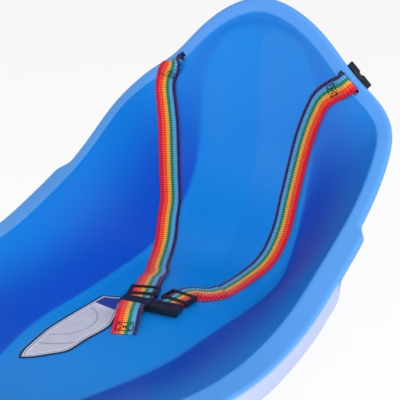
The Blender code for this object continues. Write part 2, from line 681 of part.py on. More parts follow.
def make_right_strap(finish):
    """Right webbing from its anchor loop down the backrest to where it meets the floor."""
    split = right_split() + np.cross(UP, LOOP_AXIS) * SPLIT_GAP
    stops = anchor_stops(1) + course_stops(RIGHT_COURSE, 1)
    stops += [(split + UP * 0.6 * MM + np.array([0.4, 9.0, 0.0]) * MM, LOOP_AXIS), (split, LOOP_AXIS)]
    webbing("right_strap", stops, finish)


def make_right_end(finish):
    """Lower end of the right webbing: along the floor, through its adjuster and round the tongue's bar."""
    bar, back, across, _ = adjuster_place(1)
    stops = []
    for x, y, down, turn in RIGHT_BEND:
        turn = math.radians(turn)
        stops.append((bar + np.array([x * MM, y * MM, LAYER - down * MM]),
                      np.array([math.cos(turn), math.sin(turn), 0.0])))
    straight = (33, 27, 17, 8)
    stops += [(bar + UP * LAYER + back * distance * MM, across) for distance in straight]
    stops += bar_stops(bar, back, across, LOOP_AXIS)
    stops += [(bar - UP * LAYER + back * distance * MM, across) for distance in straight[::-1]]
    webbing("right_strap_end", stops, finish)


def make_tab(finish):
    """Pull tab: webbing sewn round the socket's front bar, level at first, then drooping to the floor."""
    bar = buckle_point(-TAB_MIDDLE, -LOOP_OUT, TAB_UP)
    back, across = heading_axes(TAB_HEADING)
    forward = -back
    axis = LOOP_AXIS
    away = np.cross(axis, UP)
    away = away if away @ forward > 0 else -away
    under = LAYER - WEB_THICK - 2 * CLEAR
    stops = [(bar + forward * TAB_LEVEL + UP * under, across)]
    stops += [(bar + forward * TAB_LEVEL * share - UP * LAYER, unit(across + axis)) for share in (0.6, 0.3)]
    stops += [(bar + LAYER * (-UP * math.cos(turn) - away * math.sin(turn)), axis) for turn in TURN_STEPS]
    level = bar + UP * LAYER
    drop = level[2] - (WALL + CLEAR + WEB_THICK / 2)
    shape = ((0.5, 0.0), (1.0, 0.0), (1.4, 0.14), (1.8, 0.42), (2.2, 0.68), (2.6, 0.86), (3.0, 0.96), (3.33, 1.0))
    stops += [(level + forward * TAB_LEVEL * out - UP * drop * down, across) for out, down in shape]

    def folded(run, length):
        return ease(run, length - TAB_FOLD - MM, length - TAB_FOLD)

    webbing("pull_tab", stops, finish, folded)


def make_label(finish):
    """Thin sticker on the floor beside the left wall."""
    height = WALL + CLEAR + LABEL_THICK / 2
    outline = [(across * FLOOR_HALF, along * MM) for across, along in LABEL_OUTLINE]
    flat_shape("floor_label", outline, LABEL_THICK, finish, Matrix.Translation((0.0, 0.0, height)))


for old in list(bpy.data.objects):
    bpy.data.objects.remove(old, do_unlink=True)
PARTS = bpy.data.collections.new("plastic_sled")
CUTTERS = bpy.data.collections.new("cutters")
for group in (PARTS, CUTTERS):
    bpy.context.scene.collection.children.link(group)

blue = material("blue_polyethylene", (0.0, 0.133, 0.584), 0.3)
rainbow = material("rainbow_webbing", (0.75, 0.2, 0.12), 0.8)
black = material("black_acetal", (0.012, 0.012, 0.015), 0.4)
white = material("label_film", (0.6, 0.62, 0.68), 0.5)

make_shell(blue)
make_left_strap(rainbow)
make_right_strap(rainbow)
make_right_end(rainbow)
make_tab(rainbow)
make_socket(black)
make_tongue(black)
make_prong("back_prong", 1, black)
make_prong("front_prong", -1, black)
for side, name in ((-1, "left"), (1, "right")):
    make_anchor(name + "_anchor_bar", side, black)
    make_adjuster(name + "_adjuster", side, black)
make_label(white)
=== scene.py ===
# Child's moulded plastic sled with a rainbow shoulder harness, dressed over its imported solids.
import math

import bmesh
import bpy
import numpy as np
from mathutils import Euler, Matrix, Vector


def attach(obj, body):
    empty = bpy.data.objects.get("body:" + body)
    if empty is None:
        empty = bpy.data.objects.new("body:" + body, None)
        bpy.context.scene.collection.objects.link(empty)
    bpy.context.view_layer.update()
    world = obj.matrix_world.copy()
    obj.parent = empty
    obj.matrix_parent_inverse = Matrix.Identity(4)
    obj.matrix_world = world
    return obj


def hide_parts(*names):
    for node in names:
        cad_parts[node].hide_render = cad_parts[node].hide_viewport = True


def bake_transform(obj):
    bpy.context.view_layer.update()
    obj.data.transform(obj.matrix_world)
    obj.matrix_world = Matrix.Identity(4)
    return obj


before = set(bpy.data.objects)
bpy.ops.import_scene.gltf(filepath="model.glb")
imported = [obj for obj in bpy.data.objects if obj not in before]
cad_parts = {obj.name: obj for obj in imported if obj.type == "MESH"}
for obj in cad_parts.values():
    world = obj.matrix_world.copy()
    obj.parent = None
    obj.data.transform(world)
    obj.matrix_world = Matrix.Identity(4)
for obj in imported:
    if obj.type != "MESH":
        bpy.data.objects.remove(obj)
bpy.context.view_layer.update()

bl_info = {
    "name": "Plastic sled",
    "version": (1, 0, 0),
    "blender": (4, 5, 0),
    "location": "View3D > Sidebar > Sled",
    "description": "Builds a child's plastic sled with a webbing harness over its solids",
    "category": "Object",
}

MM = 0.001


def length(label, words, millimetres):
    """A length property with its default given in millimetres."""
    return bpy.props.FloatProperty(name=label, description=words, default=millimetres * MM, unit="LENGTH",
                                   precision=5)


def level(label, words, value):
    """A plain number property."""
    return bpy.props.FloatProperty(name=label, description=words, default=value)


def colour(label, words, value):
    """A colour property, kept as an sRGB hex value."""
    return bpy.props.StringProperty(name=label, description=words, default=value)


class SledTub(bpy.types.PropertyGroup):
    """Sizes and colours of the moulded tub."""

    wall: length("Wall", "Thickness of the moulded wall", 3.0)
    crease_round: length("Floor crease", "Leg of the rounding between floor and wall", 12.0)
    back_round: length("Back crease", "Leg of the rounding between backrest and wall", 17.0)
    rim_round: length("Rim rounding", "Leg of the rounding between wall and flange", 4.2)
    lip_round: length("Lip rounding", "Leg of the rounding at the flange's outer edge", 4.6)
    flange: length("Back flange", "Width of the flange round the backrest", 14.5)
    grip_flange: length("Grip flange", "Width of the flange along the hand grips and nose", 23.5)
    edge_lip: length("Edge lip", "Height of the small lip round the backrest", 5.5)
    grip_skirt: length("Grip skirt", "Height of the skirt along the hand grips and nose", 20.0)
    hole: length("Rope hole", "Diameter of the holes for the tow rope", 9.0)
    blue: colour("Blue", "Colour of the moulded plastic", "#0086E0")
    # Painted shade: the walls are painted a deeper blue low down, above the floor, for the shade that falls
    # there
    painted_shade_blue: colour("Deep blue", "Colour of the thicker wall above the floor", "#004CC4")
    # Painted reflection: the flange is painted paler for the white surroundings it reflects at a grazing angle
    flange_reflection_blue: colour("Flange blue", "Colour of the thinner, paler flange", "#589FEE")
    # Painted light: the skirt's outer face is painted near white for the strong light on it
    skirt_glare_blue: colour("Skirt blue", "Colour of the chalky outer face of the skirt", "#BCC9F0")


class SledHarness(bpy.types.PropertyGroup):
    """Sizes and colours of the webbing."""

    width: length("Width", "Width of the webbing", 25.0)
    thick: length("Thickness", "Thickness of the webbing", 1.3)
    rib: length("Rib spacing", "Distance between the ribs of the weave", 2.8)
    navy: colour("Navy", "Stripe on the inner edge", "#1B1A4E")
    maroon: colour("Maroon", "Dots on the inner edge", "#8E3A5C")
    azure: colour("Azure", "Thin stripe beside the navy", "#1F62AE")
    sky: colour("Light blue", "Third stripe from the inner edge", "#63A9D6")
    green: colour("Green", "Fourth stripe from the inner edge", "#0B8F6C")
    amber: colour("Amber", "Fifth stripe from the inner edge", "#FFAA3C")
    coral: colour("Orange red", "Sixth stripe from the inner edge", "#FF5530")
    crimson: colour("Crimson", "Stripe on the outer edge", "#EE1A38")
    magenta: colour("Magenta", "Dots on the outer edge", "#C0145A")
    thread: colour("Stitching", "Sewing thread", "#16120F")


class SledHardware(bpy.types.PropertyGroup):
    """Finish of the black slides and the buckle."""

    black: colour("Black", "Colour of the moulded slides and buckle", "#1A1A1E")
    grain: length("Voxel", "Size of the cells that round the mouldings", 0.32)


class SledLabel(bpy.types.PropertyGroup):
    """Colours of the label on the floor."""

    ground: colour("Ground", "Ground of the label", "#D5D6E4")
    panel: colour("Panel", "Inner panel of the label", "#BFC0CC")
    border: colour("Border", "Border and marks of the label", "#16264F")
    patch: colour("Patch", "Blue patch at the label's end", "#2B3F9C")
    line: length("Border width", "Width of the dark border", 2.6)


class SledStage(bpy.types.PropertyGroup):
    """Camera and lights."""

    lens: level("Lens", "Focal length on a 36 mm sensor", 81.0)
    fill: level("Fill", "Strength of the even light from all round", 0.2)
    overhead: level("Overhead", "Power of the wide lamp above, in watts", 3.0)
    right: level("Right", "Power of the lamp at the back right, in watts", 11.0)
    front: level("Front", "Power of the lamp in front, in watts", 31.0)
    key: level("Key", "Power of the wide lamp at the upper left, in watts", 1.0)
    low: level("Low", "Power of the small low lamp at the front left, in watts", 0.25)


def linear(value):
    """Linear colour of an sRGB hex value: c / 12.92 in the dark, else ((c + 0.055) / 1.055) ** 2.4."""
    parts = [int(value[i:i + 2], 16) / 255 for i in (1, 3, 5)]
    return tuple(c / 12.92 if c <= 0.04045 else ((c + 0.055) / 1.055) ** 2.4 for c in parts) + (1.0,)


def feed(node, inputs):
    """Set a node's inputs, by name or in order. Each takes a value, a colour's hex value, an output of
    another node, or that node itself, which stands for its first output in use."""
    for key, value in (inputs if isinstance(inputs, dict) else dict(enumerate(inputs))).items():
        if isinstance(value, bpy.types.Node):
            value = next(output for output in value.outputs if output.enabled)
        if isinstance(value, bpy.types.NodeSocket):
            node.id_data.links.new(value, node.inputs[key])
        else:
            node.inputs[key].default_value = linear(value) if isinstance(value, str) else value


def add(tree, kind, inputs=(), stops=(), **settings):
    """Add a shader node with its settings, inputs and links. The kind may name its operation, as in
    "Math ADD". A ramp also takes its stops."""
    kind, _, operation = kind.partition(" ")
    made = tree.nodes.new("ShaderNode" + kind)
    if operation:
        made.operation = operation
    for name, value in settings.items():
        setattr(made, name, value)
    feed(made, inputs)
    if stops:
        elements = made.color_ramp.elements
        while len(elements) < len(stops):
            elements.new(1.0)
        for element, (place, shade) in zip(elements, stops):
            element.position = place
            element.color = linear(shade) if isinstance(shade, str) else shade
    return made


def material_of(name, build, *settings):
    """The material of a name, built the first time by a function that gets its node tree and shader."""
    made = bpy.data.materials.get(name)
    if made is None:
        made = bpy.data.materials.new(name)
        made.use_nodes = True
        build(made.node_tree, made.node_tree.nodes["Principled BSDF"], *settings)
    return made


def unit(vectors):
    """Scale each vector to length one."""
    return vectors / np.maximum(np.linalg.norm(vectors, axis=-1, keepdims=True), 1e-12)


def ease(value, low, high):
    """Smooth step from 0 at low to 1 at high."""
    t = np.clip((value - low) / (high - low), 0.0, 1.0)
    return t * t * (3.0 - 2.0 * t)


def face_outwards(mesh):
    """Turn every face of a closed mesh outwards, and drop points that no face uses."""
    shape = bmesh.new()
    shape.from_mesh(mesh)
    bmesh.ops.delete(shape, geom=[point for point in shape.verts if not point.link_faces], context="VERTS")
    bmesh.ops.recalc_face_normals(shape, faces=shape.faces)
    shape.to_mesh(mesh)
    shape.free()


def placed(name, data):
    """An object with this data, linked into the scene."""
    made = bpy.data.objects.new(name, data)
    bpy.context.scene.collection.objects.link(made)
    return made


def put_mesh(name, points, faces, material, values=None, smooth=True):
    """A mesh object at the origin from points and lists of faces. values holds named arrays with a number for
    each point, or a pair, which becomes a UV map."""
    mesh = bpy.data.meshes.new(name)
    polygons = [face for part in faces for face in np.asarray(part).tolist()]
    mesh.from_pydata(np.asarray(points).tolist(), [], polygons)
    mesh.update()
    for key, array in (values or {}).items():
        if array.ndim == 2:
            corner = np.empty(len(mesh.loops), np.int32)
            mesh.loops.foreach_get("vertex_index", corner)
            mesh.uv_layers.new(name=key).data.foreach_set("uv", array[corner].astype(np.float32).ravel())
        else:
            mesh.attributes.new(key, "FLOAT", "POINT").data.foreach_set("value", array.astype(np.float32))
    face_outwards(mesh)
    mesh.polygons.foreach_set("use_smooth", np.full(len(mesh.polygons), smooth))
    if material:
        mesh.materials.append(material)
    return placed(name, mesh)


def ring_faces(index):
    """Quads between the rings of a grid of point numbers whose rings are closed."""
    ahead = np.roll(index, -1, axis=1)
    return np.stack([index[:-1], ahead[:-1], ahead[1:], index[1:]], axis=-1).reshape(-1, 4)


def fan_faces(ring, centre):
    """Triangles from a closed ring of point numbers to one centre."""
    return np.stack([ring, np.roll(ring, -1), 0 * ring + centre], axis=1)


def tube(rings):
    """Points and faces of a closed tube: rings of points, and at each end a fan to the ring's middle."""
    rows, count = rings.shape[:2]
    index = np.arange(rows * count).reshape(rows, count)
    points = np.vstack([rings.reshape(-1, 3), rings[[0, -1]].mean(axis=1)])
    ends = [fan_faces(index[0], rows * count), fan_faces(index[-1], rows * count + 1)]
    return points, [ring_faces(index)] + ends


def finished(made, body, nodes):
    """Ride a piece on its body, and hide the solids of the nodes that it stands for."""
    if nodes:
        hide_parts(*nodes)
    if body:
        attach(made, body)
    return made


# Guide points of the tub's right half from nose to backrest top, in millimetres. Each row is the centre
# line (y, z), the crease (x, y, z), the rim (x, y, z) and the lean of the flange in degrees.
STATIONS = (
    ((-118, 3), (0, -150, 3), (0, -278.5, 95), 0),
    ((-110, 3), (30, -132, 3), (72, -267.5, 92), 0),
    ((-82, 3), (50, -88, 3), (122, -229.5, 80), 0),
    ((-36, 3), (67, -36, 3), (153, -161, 64), 0),
    ((10, 3), (77, 12, 3), (166, -85, 51), 0),
    ((62, 3), (79, 62, 3), (169, -15, 47), 5),
    ((112, 3), (82, 112, 3), (168, 55, 56), 15),
    ((160, 3), (85, 160, 4), (166, 115, 77), 25),
    ((205, 6), (84, 202, 11), (165, 167, 100), 30),
    ((246, 26), (78, 240, 34), (164, 210, 126), 36),
    ((277, 67), (73, 270, 72), (160, 245, 153), 45),
    ((291, 114), (72, 285, 117), (150, 268, 171), 58),
    ((295, 158), (72, 290, 160), (132, 279, 186), 72),
    ((297, 192), (68, 292, 194), (108, 286, 202), 80),
    ((298, 220), (58, 294, 224), (84, 290, 224), 84),
    ((299, 237), (36, 296, 248), (51, 293, 253), 86),
    ((299, 243), (0, 297, 256), (0, 294, 272), 87),
)
LAST_STATION = len(STATIONS) - 1
FLOOR_STATION, BACK_STATION = 7.5, 10.5
CENTRE = np.array([(0.0, *row[0]) for row in STATIONS]) * MM
CREASE = np.array([row[1] for row in STATIONS], float) * MM
RIM = np.array([row[2] for row in STATIONS], float) * MM
LEAN = np.radians([[row[3]] for row in STATIONS])
FLIP = np.array([-1.0, 1.0, 1.0])
GRIP_END, GRIP_STEP, SKIRT_END, SKIRT_STEP = 176 * MM, 18 * MM, 112 * MM, 13 * MM


def curve(points, where, mirrored=False):
    """Cubic spline through points, read at index numbers. The points are closed into a ring by their mirror
    image, and the slopes are the ones at which the bend runs on through every point."""
    ring = np.vstack([points, points[-2:0:-1] * (FLIP if mirrored else 1.0)])
    count = len(ring)
    ahead, behind = np.roll(ring, -1, axis=0), np.roll(ring, 1, axis=0)
    weights = 4 * np.eye(count) + np.roll(np.eye(count), 1, axis=1) + np.roll(np.eye(count), -1, axis=1)
    slopes = np.linalg.solve(weights, 3 * (ahead - behind))
    where = np.clip(where, 0.0, len(points) - 1.0)
    index = np.minimum(where.astype(int), len(points) - 2)
    t = (where - index)[:, None]
    a, b, leave, arrive = ring[index], ring[index + 1], slopes[index], slopes[index + 1]
    blend = a * (1 + 2 * t) * (1 - t) ** 2 + b * t * t * (3 - 2 * t)
    return blend + leave * t * (1 - t) ** 2 + arrive * t * t * (t - 1)


def rim_axes(where):
    """Rim points and three axes there: along the rim, up from the flange and outward over it."""
    nudge = 0.001
    ahead = curve(RIM, np.minimum(where + nudge, LAST_STATION), mirrored=True)
    behind = curve(RIM, np.maximum(where - nudge, 0.0), mirrored=True)
    along = unit(ahead - behind)
    lean = curve(LEAN, where)[:, 0]
    up = np.stack([np.zeros_like(lean), -np.sin(lean), np.cos(lean)], axis=1)
    up = unit(up - (up * along).sum(axis=1, keepdims=True) * along)
    return curve(RIM, where, mirrored=True), along, up, np.cross(along, up)


def rounded(before, corner, after, radius, steps, share=0.45):
    """Points of a round corner: a quadratic arc whose legs are alike and stay within a share of each side."""
    near = np.linalg.norm(before - corner, axis=1, keepdims=True)
    far = np.linalg.norm(after - corner, axis=1, keepdims=True)
    leg = np.minimum(radius, np.minimum(0.45 * near, share * far))
    start = corner + (before - corner) / near * leg
    end = corner + (after - corner) / far * leg
    places = np.linspace(0, 1, steps + 1)
    return [(1 - t) ** 2 * start + 2 * t * (1 - t) * corner + t * t * end for t in places]


PANEL, ROUND, SIDE, CORNER, FLAT, SKIRT = 14, 10, 16, 8, 4, 5
# Places across the tub of its rows: 0 centre line, 1 crease, 2 rim, 3 flange edge, 4 lip or skirt edge
ACROSS = np.concatenate([
    np.linspace(0.0, 0.8, PANEL + 1)[:-1], np.linspace(0.8, 1.2, ROUND + 1),
    np.linspace(1.2, 1.9, SIDE + 1)[1:-1], np.linspace(1.9, 2.1, CORNER + 1),
    np.linspace(2.1, 2.9, FLAT + 1)[1:-1], np.linspace(2.9, 3.1, CORNER + 1),
    np.linspace(3.1, 4.0, SKIRT + 1)[1:],
])


def skirt_share(rim):
    """How far the edge is a deep skirt, from 0 round the backrest to 1 along the hand grips."""
    return 1.0 - ease(rim[:, 1:2], SKIRT_END - SKIRT_STEP, SKIRT_END)


def tub_rows(where, tub):
    """Visible face of the right half: one row of points for each place across, at the stations in where. A
    row runs straight from centre line to crease, rim, flange edge and hem, with a round corner at each."""
    centre = curve(CENTRE, where, mirrored=True)
    crease = curve(CREASE, where, mirrored=True)
    for line in (centre, crease):
        line[:, 2] = np.maximum(line[:, 2], tub.wall)
    rim, along, up, outward = rim_axes(where)
    grip = 1.0 - ease(rim[:, 1:2], GRIP_END - GRIP_STEP, GRIP_END)
    edge = rim + outward * (tub.flange + (tub.grip_flange - tub.flange) * grip)
    hem = edge - up * (tub.edge_lip + (tub.grip_skirt - tub.edge_lip) * skirt_share(rim))
    bend = tub.crease_round + (tub.back_round - tub.crease_round) * ease(where, FLOOR_STATION, BACK_STATION)
    low = rounded(centre, crease, rim, bend[:, None], ROUND)
    high = rounded(crease, rim, edge, tub.rim_round, CORNER)
    lip = rounded(rim, edge, hem, tub.lip_round, CORNER, share=0.85)

    def between(a, b, steps, first=0):
        return [a + (b - a) * t for t in np.linspace(0, 1, steps + 1)[first:]]

    panel = between(centre, low[0], PANEL)[:-1]
    side = between(low[-1], high[0], SIDE, 1)[:-1]
    flat = between(high[-1], lip[0], FLAT, 1)[:-1]
    return np.array(panel + low + side + high + flat + lip + between(lip[-1], hem, SKIRT, 1))


def on_tub(station, across, side, tub):
    """Point of the tub's visible face and its normal there, side 1 for the right half and -1 for the left."""
    step = 0.02
    rows = tub_rows(np.array([station - step, station, station + step]), tub)

    def read(place, column):
        return np.array([np.interp(place, ACROSS, rows[:, column, axis]) for axis in range(3)])

    along = read(across, 2) - read(across, 0)
    outward = read(across + step, 1) - read(across - step, 1)
    normal = unit(np.cross(outward, along))
    normal = normal if normal @ np.array([0.0, -1.0, 1.0]) > 0.0 else -normal
    flip = np.array([side, 1.0, 1.0])
    return read(across, 1) * flip, normal * flip


def polyethylene(tree, shader, tub):
    """Moulded polyethylene: smooth and waxy, with a soft broad shine, a fine grain, slow changes of shade,
    painted shade low on the walls, a flange painted paler for the white surroundings it reflects and a skirt
    painted near white for the strong light on its outer face."""
    place = add(tree, "TexCoord").outputs["Object"]
    # The zone is -1 low on the walls, where shade is painted in deep blue, 0 on floor and backrest, 1 on the
    # flange, painted paler for its reflections, and 2 on the skirt, painted near white for the light on it
    zone = add(tree, "Attribute", attribute_name="zone").outputs["Fac"]
    share = add(tree, "Math MULTIPLY_ADD", (zone, 1 / 3, 1 / 3))
    # Painted shade in the deep blue, painted reflection in the flange blue and painted light in the skirt blue
    tone = add(tree, "ValToRGB", (share,), stops=[
        (0.0, tub.painted_shade_blue), (0.33, tub.blue), (0.6, tub.flange_reflection_blue), (0.72, tub.flange_reflection_blue),
        (0.97, tub.skirt_glare_blue)])
    # Cooling leaves slow shade changes about 90 mm across
    slow = add(tree, "TexNoise", {"Vector": place, "Scale": 11.0, "Detail": 2.0})
    tint = add(tree, "MapRange", {"Value": slow, "To Min": 0.95, "To Max": 1.04})
    body = add(tree, "HueSaturation", {"Color": tone, "Value": tint})
    # Grain of the mould, drawn at 0.8 mm because its real 0.2 mm is too fine to show
    grain = add(tree, "TexNoise", {"Vector": place, "Scale": 1200.0, "Detail": 2.0})
    rough = add(tree, "MapRange", {"Value": grain, "To Min": 0.36, "To Max": 0.46})
    bump = add(tree, "Bump", {"Height": grain, "Strength": 0.05, "Distance": 0.0002})
    feed(shader, {"Base Color": body, "Roughness": rough, "Normal": bump, "IOR": 1.5,
                  "Specular IOR Level": 0.4})


SLOT_STATION, SLOT_IN = 13.1, 5.6 * MM
SLOT_HALF_LONG, SLOT_HALF_HIGH, SLOT_CORNER = 15.2 * MM, 3.3 * MM, 2.2 * MM


def slot_axes(side):
    """Middle of a strap slot on the visible face, then the axes along the rim, to its edge and backwards."""
    rim, along, up, outward = (value[0] for value in rim_axes(np.array([SLOT_STATION])))
    flip = np.array([side, 1.0, 1.0])
    return (rim + outward * SLOT_IN) * flip, along * flip, outward * flip, -up * flip


def bake(made):
    """Apply a piece's modifiers to its mesh."""
    ready = bpy.data.meshes.new_from_object(made.evaluated_get(bpy.context.evaluated_depsgraph_get()))
    made.modifiers.clear()
    made.data = ready


def combine(made, shapes, operation):
    """Cut closed shapes out of a piece, or join them to it, and remove them."""
    for shape in shapes:
        change = made.modifiers.new("shape", "BOOLEAN")
        change.operation = operation
        change.object = shape
        change.solver = "EXACT"
    bake(made)
    for shape in shapes:
        bpy.data.objects.remove(shape, do_unlink=True)


def prism(outline, low, high, axes):
    """Closed straight shape: an outline in the first two axes, run along the third between low and high.
    axes is the origin and the three axes."""
    origin, x_axis, y_axis, z_axis = axes
    outline = np.asarray(outline)
    flat = origin + outline[:, :1] * x_axis + outline[:, 1:2] * y_axis
    return put_mesh("shape", *tube(np.array([flat + z_axis * low, flat + z_axis * high])), None, smooth=False)


def rounded_outline(half_x, half_y, radius, steps=6):
    """Outline of a rectangle with round corners, anticlockwise: quarter circles at its four corners."""
    turn = np.linspace(0, math.pi / 2, steps + 1)
    corners = ((1, 1, 0), (-1, 1, 1), (-1, -1, 2), (1, -1, 3))
    arcs = [np.stack([sx * (half_x - radius) + radius * np.cos(turn + q * math.pi / 2),
                      sy * (half_y - radius) + radius * np.sin(turn + q * math.pi / 2)], axis=1)
            for sx, sy, q in corners]
    return np.vstack(arcs)


def circle(radius, steps=32):
    """Outline of a circle, anticlockwise."""
    turn = np.linspace(0, 2 * math.pi, steps + 1)[:-1]
    return np.stack([np.cos(turn), np.sin(turn)], axis=1) * radius


STATION_STEPS = 13
ROPE_HOLE = (45.0, -286.78, 94.21)
# How far the cutting shapes of the slots and rope holes reach, through the wall on both sides
SLOT_CUT, ROPE_CUT = (-6 * MM, 8 * MM), (-10 * MM, 10 * MM)
# Zones of the hem, as pale as the flange's painted reflection, and of the underside, between the walls' tone
# and the flange's
HEM_ZONE, UNDER_ZONE = 0.9, 0.55


def make_tub(tub):
    """The tub: rows of its visible face from the centre line to the hem on a closed loop of stations, then a
    half-round hem, then the same rows set back by the wall along the surface normals."""
    where = np.linspace(0.0, LAST_STATION, LAST_STATION * STATION_STEPS + 1)
    half = len(where)
    right = tub_rows(where, tub)
    right[0, :, 0] = 0.0
    right[:, [0, -1], 0] = 0.0
    loop = np.concatenate([right, right[:, -2:0:-1] * FLIP], axis=1)
    rows, columns = loop.shape[:2]
    along = np.roll(loop, -1, axis=1) - np.roll(loop, 1, axis=1)
    along[0] = along[1]
    normal = unit(np.cross(np.gradient(loop, axis=0), along))
    normal[0, :, 0] = 0.0
    normal[:, [0, half - 1], 0] = 0.0
    normal = unit(normal)
    if normal[2, columns // 8, 2] < 0:
        normal = -normal
    under = loop - normal * tub.wall
    middle = (loop[-1] + under[-1]) / 2
    reach = unit(loop[-1] - loop[-2]) * tub.wall / 2
    hem = [middle + normal[-1] * tub.wall / 2 * math.cos(turn) + reach * math.sin(turn) * 0.9
           for turn in np.radians([30, 60, 90, 120, 150])]
    grid = np.concatenate([loop, np.array(hem), under[::-1]])
    skirt = skirt_share(curve(RIM, where, mirrored=True))[:, 0]
    skirt = np.concatenate([skirt, skirt[-2:0:-1]])
    # Zone 1 on the flange, painted paler for its reflections, and 2 on the skirt's outer face, painted near
    # white for the strong light on it
    outer = ease(ACROSS, 1.98, 2.04)[:, None] + ease(ACROSS, 3.0, 3.12)[:, None] * skirt
    # Painted shade: the deep blue starts at the crease, and fades up the walls and towards the backrest's top
    # thick holds the share of painted shade at each place across
    thick = ease(ACROSS, 0.99, 1.06) * (1.0 - 0.75 * ease(ACROSS, 1.3, 1.95)) * (ACROSS < 2.0)
    height = 1.0 - 0.75 * ease(where, 9.5, 13.0)
    outer = outer - thick[:, None] * np.concatenate([height, height[-2:0:-1]])
    zone = np.concatenate([outer, np.full((len(hem), columns), HEM_ZONE), np.full((rows, columns), UNDER_ZONE)])
    index = np.arange(len(grid) * columns).reshape(-1, columns)
    for line in (index[0], index[-1]):
        line[half:] = line[half - 2:0:-1]
    plastic = material_of("moulded_polyethylene_satin", polyethylene, tub)
    made = put_mesh("moulded_tub", grid.reshape(-1, 3), [ring_faces(index)], plastic, {"zone": zone.ravel()})
    shapes = []
    for side in (1.0, -1.0):
        outline = rounded_outline(SLOT_HALF_LONG, SLOT_HALF_HIGH, SLOT_CORNER)
        shapes.append(prism(outline, *SLOT_CUT, slot_axes(side)))
        spot = np.array([side, 1.0, 1.0]) * ROPE_HOLE * MM
        shapes.append(prism(circle(tub.hole / 2), *ROPE_CUT, (spot, *np.eye(3))))
    combine(made, shapes, "DIFFERENCE")
    return finished(made, "tub", ["sled_shell"])


# Courses of the straps over the tub. Each row gives the station and the place across of the navy edge,
# then of the red edge. The place across is 1 at the crease and 2 at the rim.
LEFT_COURSE = (
    (12.62, 1.68, 12.03, 1.97), (12.20, 1.53, 11.65, 1.85), (11.70, 1.42, 11.18, 1.72),
    (11.12, 1.35, 10.62, 1.59), (10.40, 1.28, 9.95, 1.47), (9.88, 1.21, 9.47, 1.38), (9.40, 1.06, 9.03, 1.28),
    (8.97, 0.93, 8.65, 1.22), (8.45, 0.73, 8.20, 1.05), (8.00, 0.60, 7.75, 0.89), (7.45, 0.47, 7.12, 0.72),
)
RIGHT_COURSE = (
    (13.23, 1.39, 12.62, 1.48), (12.85, 1.02, 12.43, 1.21), (12.43, 0.88, 11.98, 1.11),
    (11.95, 0.76, 11.53, 1.05), (11.45, 0.67, 11.15, 1.01), (10.95, 0.61, 10.70, 0.98),
    (10.50, 0.57, 10.30, 0.96), (10.00, 0.55, 9.85, 0.94), (9.55, 0.56, 9.38, 0.92), (9.07, 0.55, 8.97, 0.86),
    (8.70, 0.50, 8.55, 0.81), (8.28, 0.44, 8.18, 0.74), (8.00, 0.39, 7.88, 0.68), (7.60, 0.36, 7.42, 0.62),
)
COURSE_LIFT = 1.5 * MM
# Distance between the rings of a band along its run
BAND_STEP = 0.52 * MM
UP = np.array([0.0, 0.0, 1.0])
CLEAR = 0.35 * MM
LAYER = 2.3 * MM
LEFT_BAR = np.array([-16.43, 88.81, 6.3]) * MM
RIGHT_BAR = np.array([15.68, 94.47, 6.3]) * MM
TAB_BAR = np.array([-10.6, 67.9, 11.4]) * MM
BUCKLE_TURN = math.radians(10.0)
LOOP_AXIS = np.array([math.cos(BUCKLE_TURN), math.sin(BUCKLE_TURN), 0.0])
LEFT_HEADING, RIGHT_HEADING, TAB_HEADING = 23.5, -3.0, 26.0
# Turns of the stops round a bar
HALF_TURN = np.radians(np.arange(0, 181, 30))
# Distance run by which a strap has left the loop round its anchor
LOOP_RUN = 30 * MM


def heading_axes(degrees):
    """Level axes of webbing whose way forward is turned from -Y: back along it, and across to +X."""
    turn = math.radians(degrees)
    return np.array([-math.sin(turn), math.cos(turn), 0.0]), np.array([math.cos(turn), math.sin(turn), 0.0])


def ribbon(stops, spacing, side):
    """Even line through stops of (middle, across). Each span is a cubic whose end slopes follow the
    distances; it is then read at even steps of its length. Returns middles, across, normals and the distance
    run."""
    stops = np.array([np.concatenate(stop) for stop in stops])
    steps = np.diff(stops, axis=0)
    gaps = np.linalg.norm(steps[:, :3], axis=1, keepdims=True)
    slopes = steps / gaps
    inner = (slopes[:-1] * gaps[1:] + slopes[1:] * gaps[:-1]) / (gaps[1:] + gaps[:-1])
    speed = np.vstack([slopes[:1], inner, slopes[-1:]])
    t = np.linspace(0, 1, 33)[:-1, None, None]
    start, end = stops[:-1], stops[1:]
    bend = start * (2 * t ** 3 - 3 * t ** 2 + 1) + end * (3 * t ** 2 - 2 * t ** 3)
    pull = speed[:-1] * (t ** 3 - 2 * t ** 2 + t) + speed[1:] * (t ** 3 - t ** 2)
    line = np.vstack([(bend + pull * gaps).transpose(1, 0, 2).reshape(-1, 6), stops[-1:]])
    run = np.concatenate([[0.0], np.cumsum(np.linalg.norm(np.diff(line[:, :3], axis=0), axis=1))])
    even = np.linspace(0.0, run[-1], max(4, round(run[-1] / spacing)) + 1)
    line = np.stack([np.interp(even, run, line[:, axis]) for axis in range(6)], axis=1)
    middle, across = line[:, :3], unit(line[:, 3:])
    along = unit(np.gradient(middle, axis=0))
    across = unit(across - (across * along).sum(axis=1, keepdims=True) * along)
    return middle, across, unit(np.cross(along, across)) * side, even


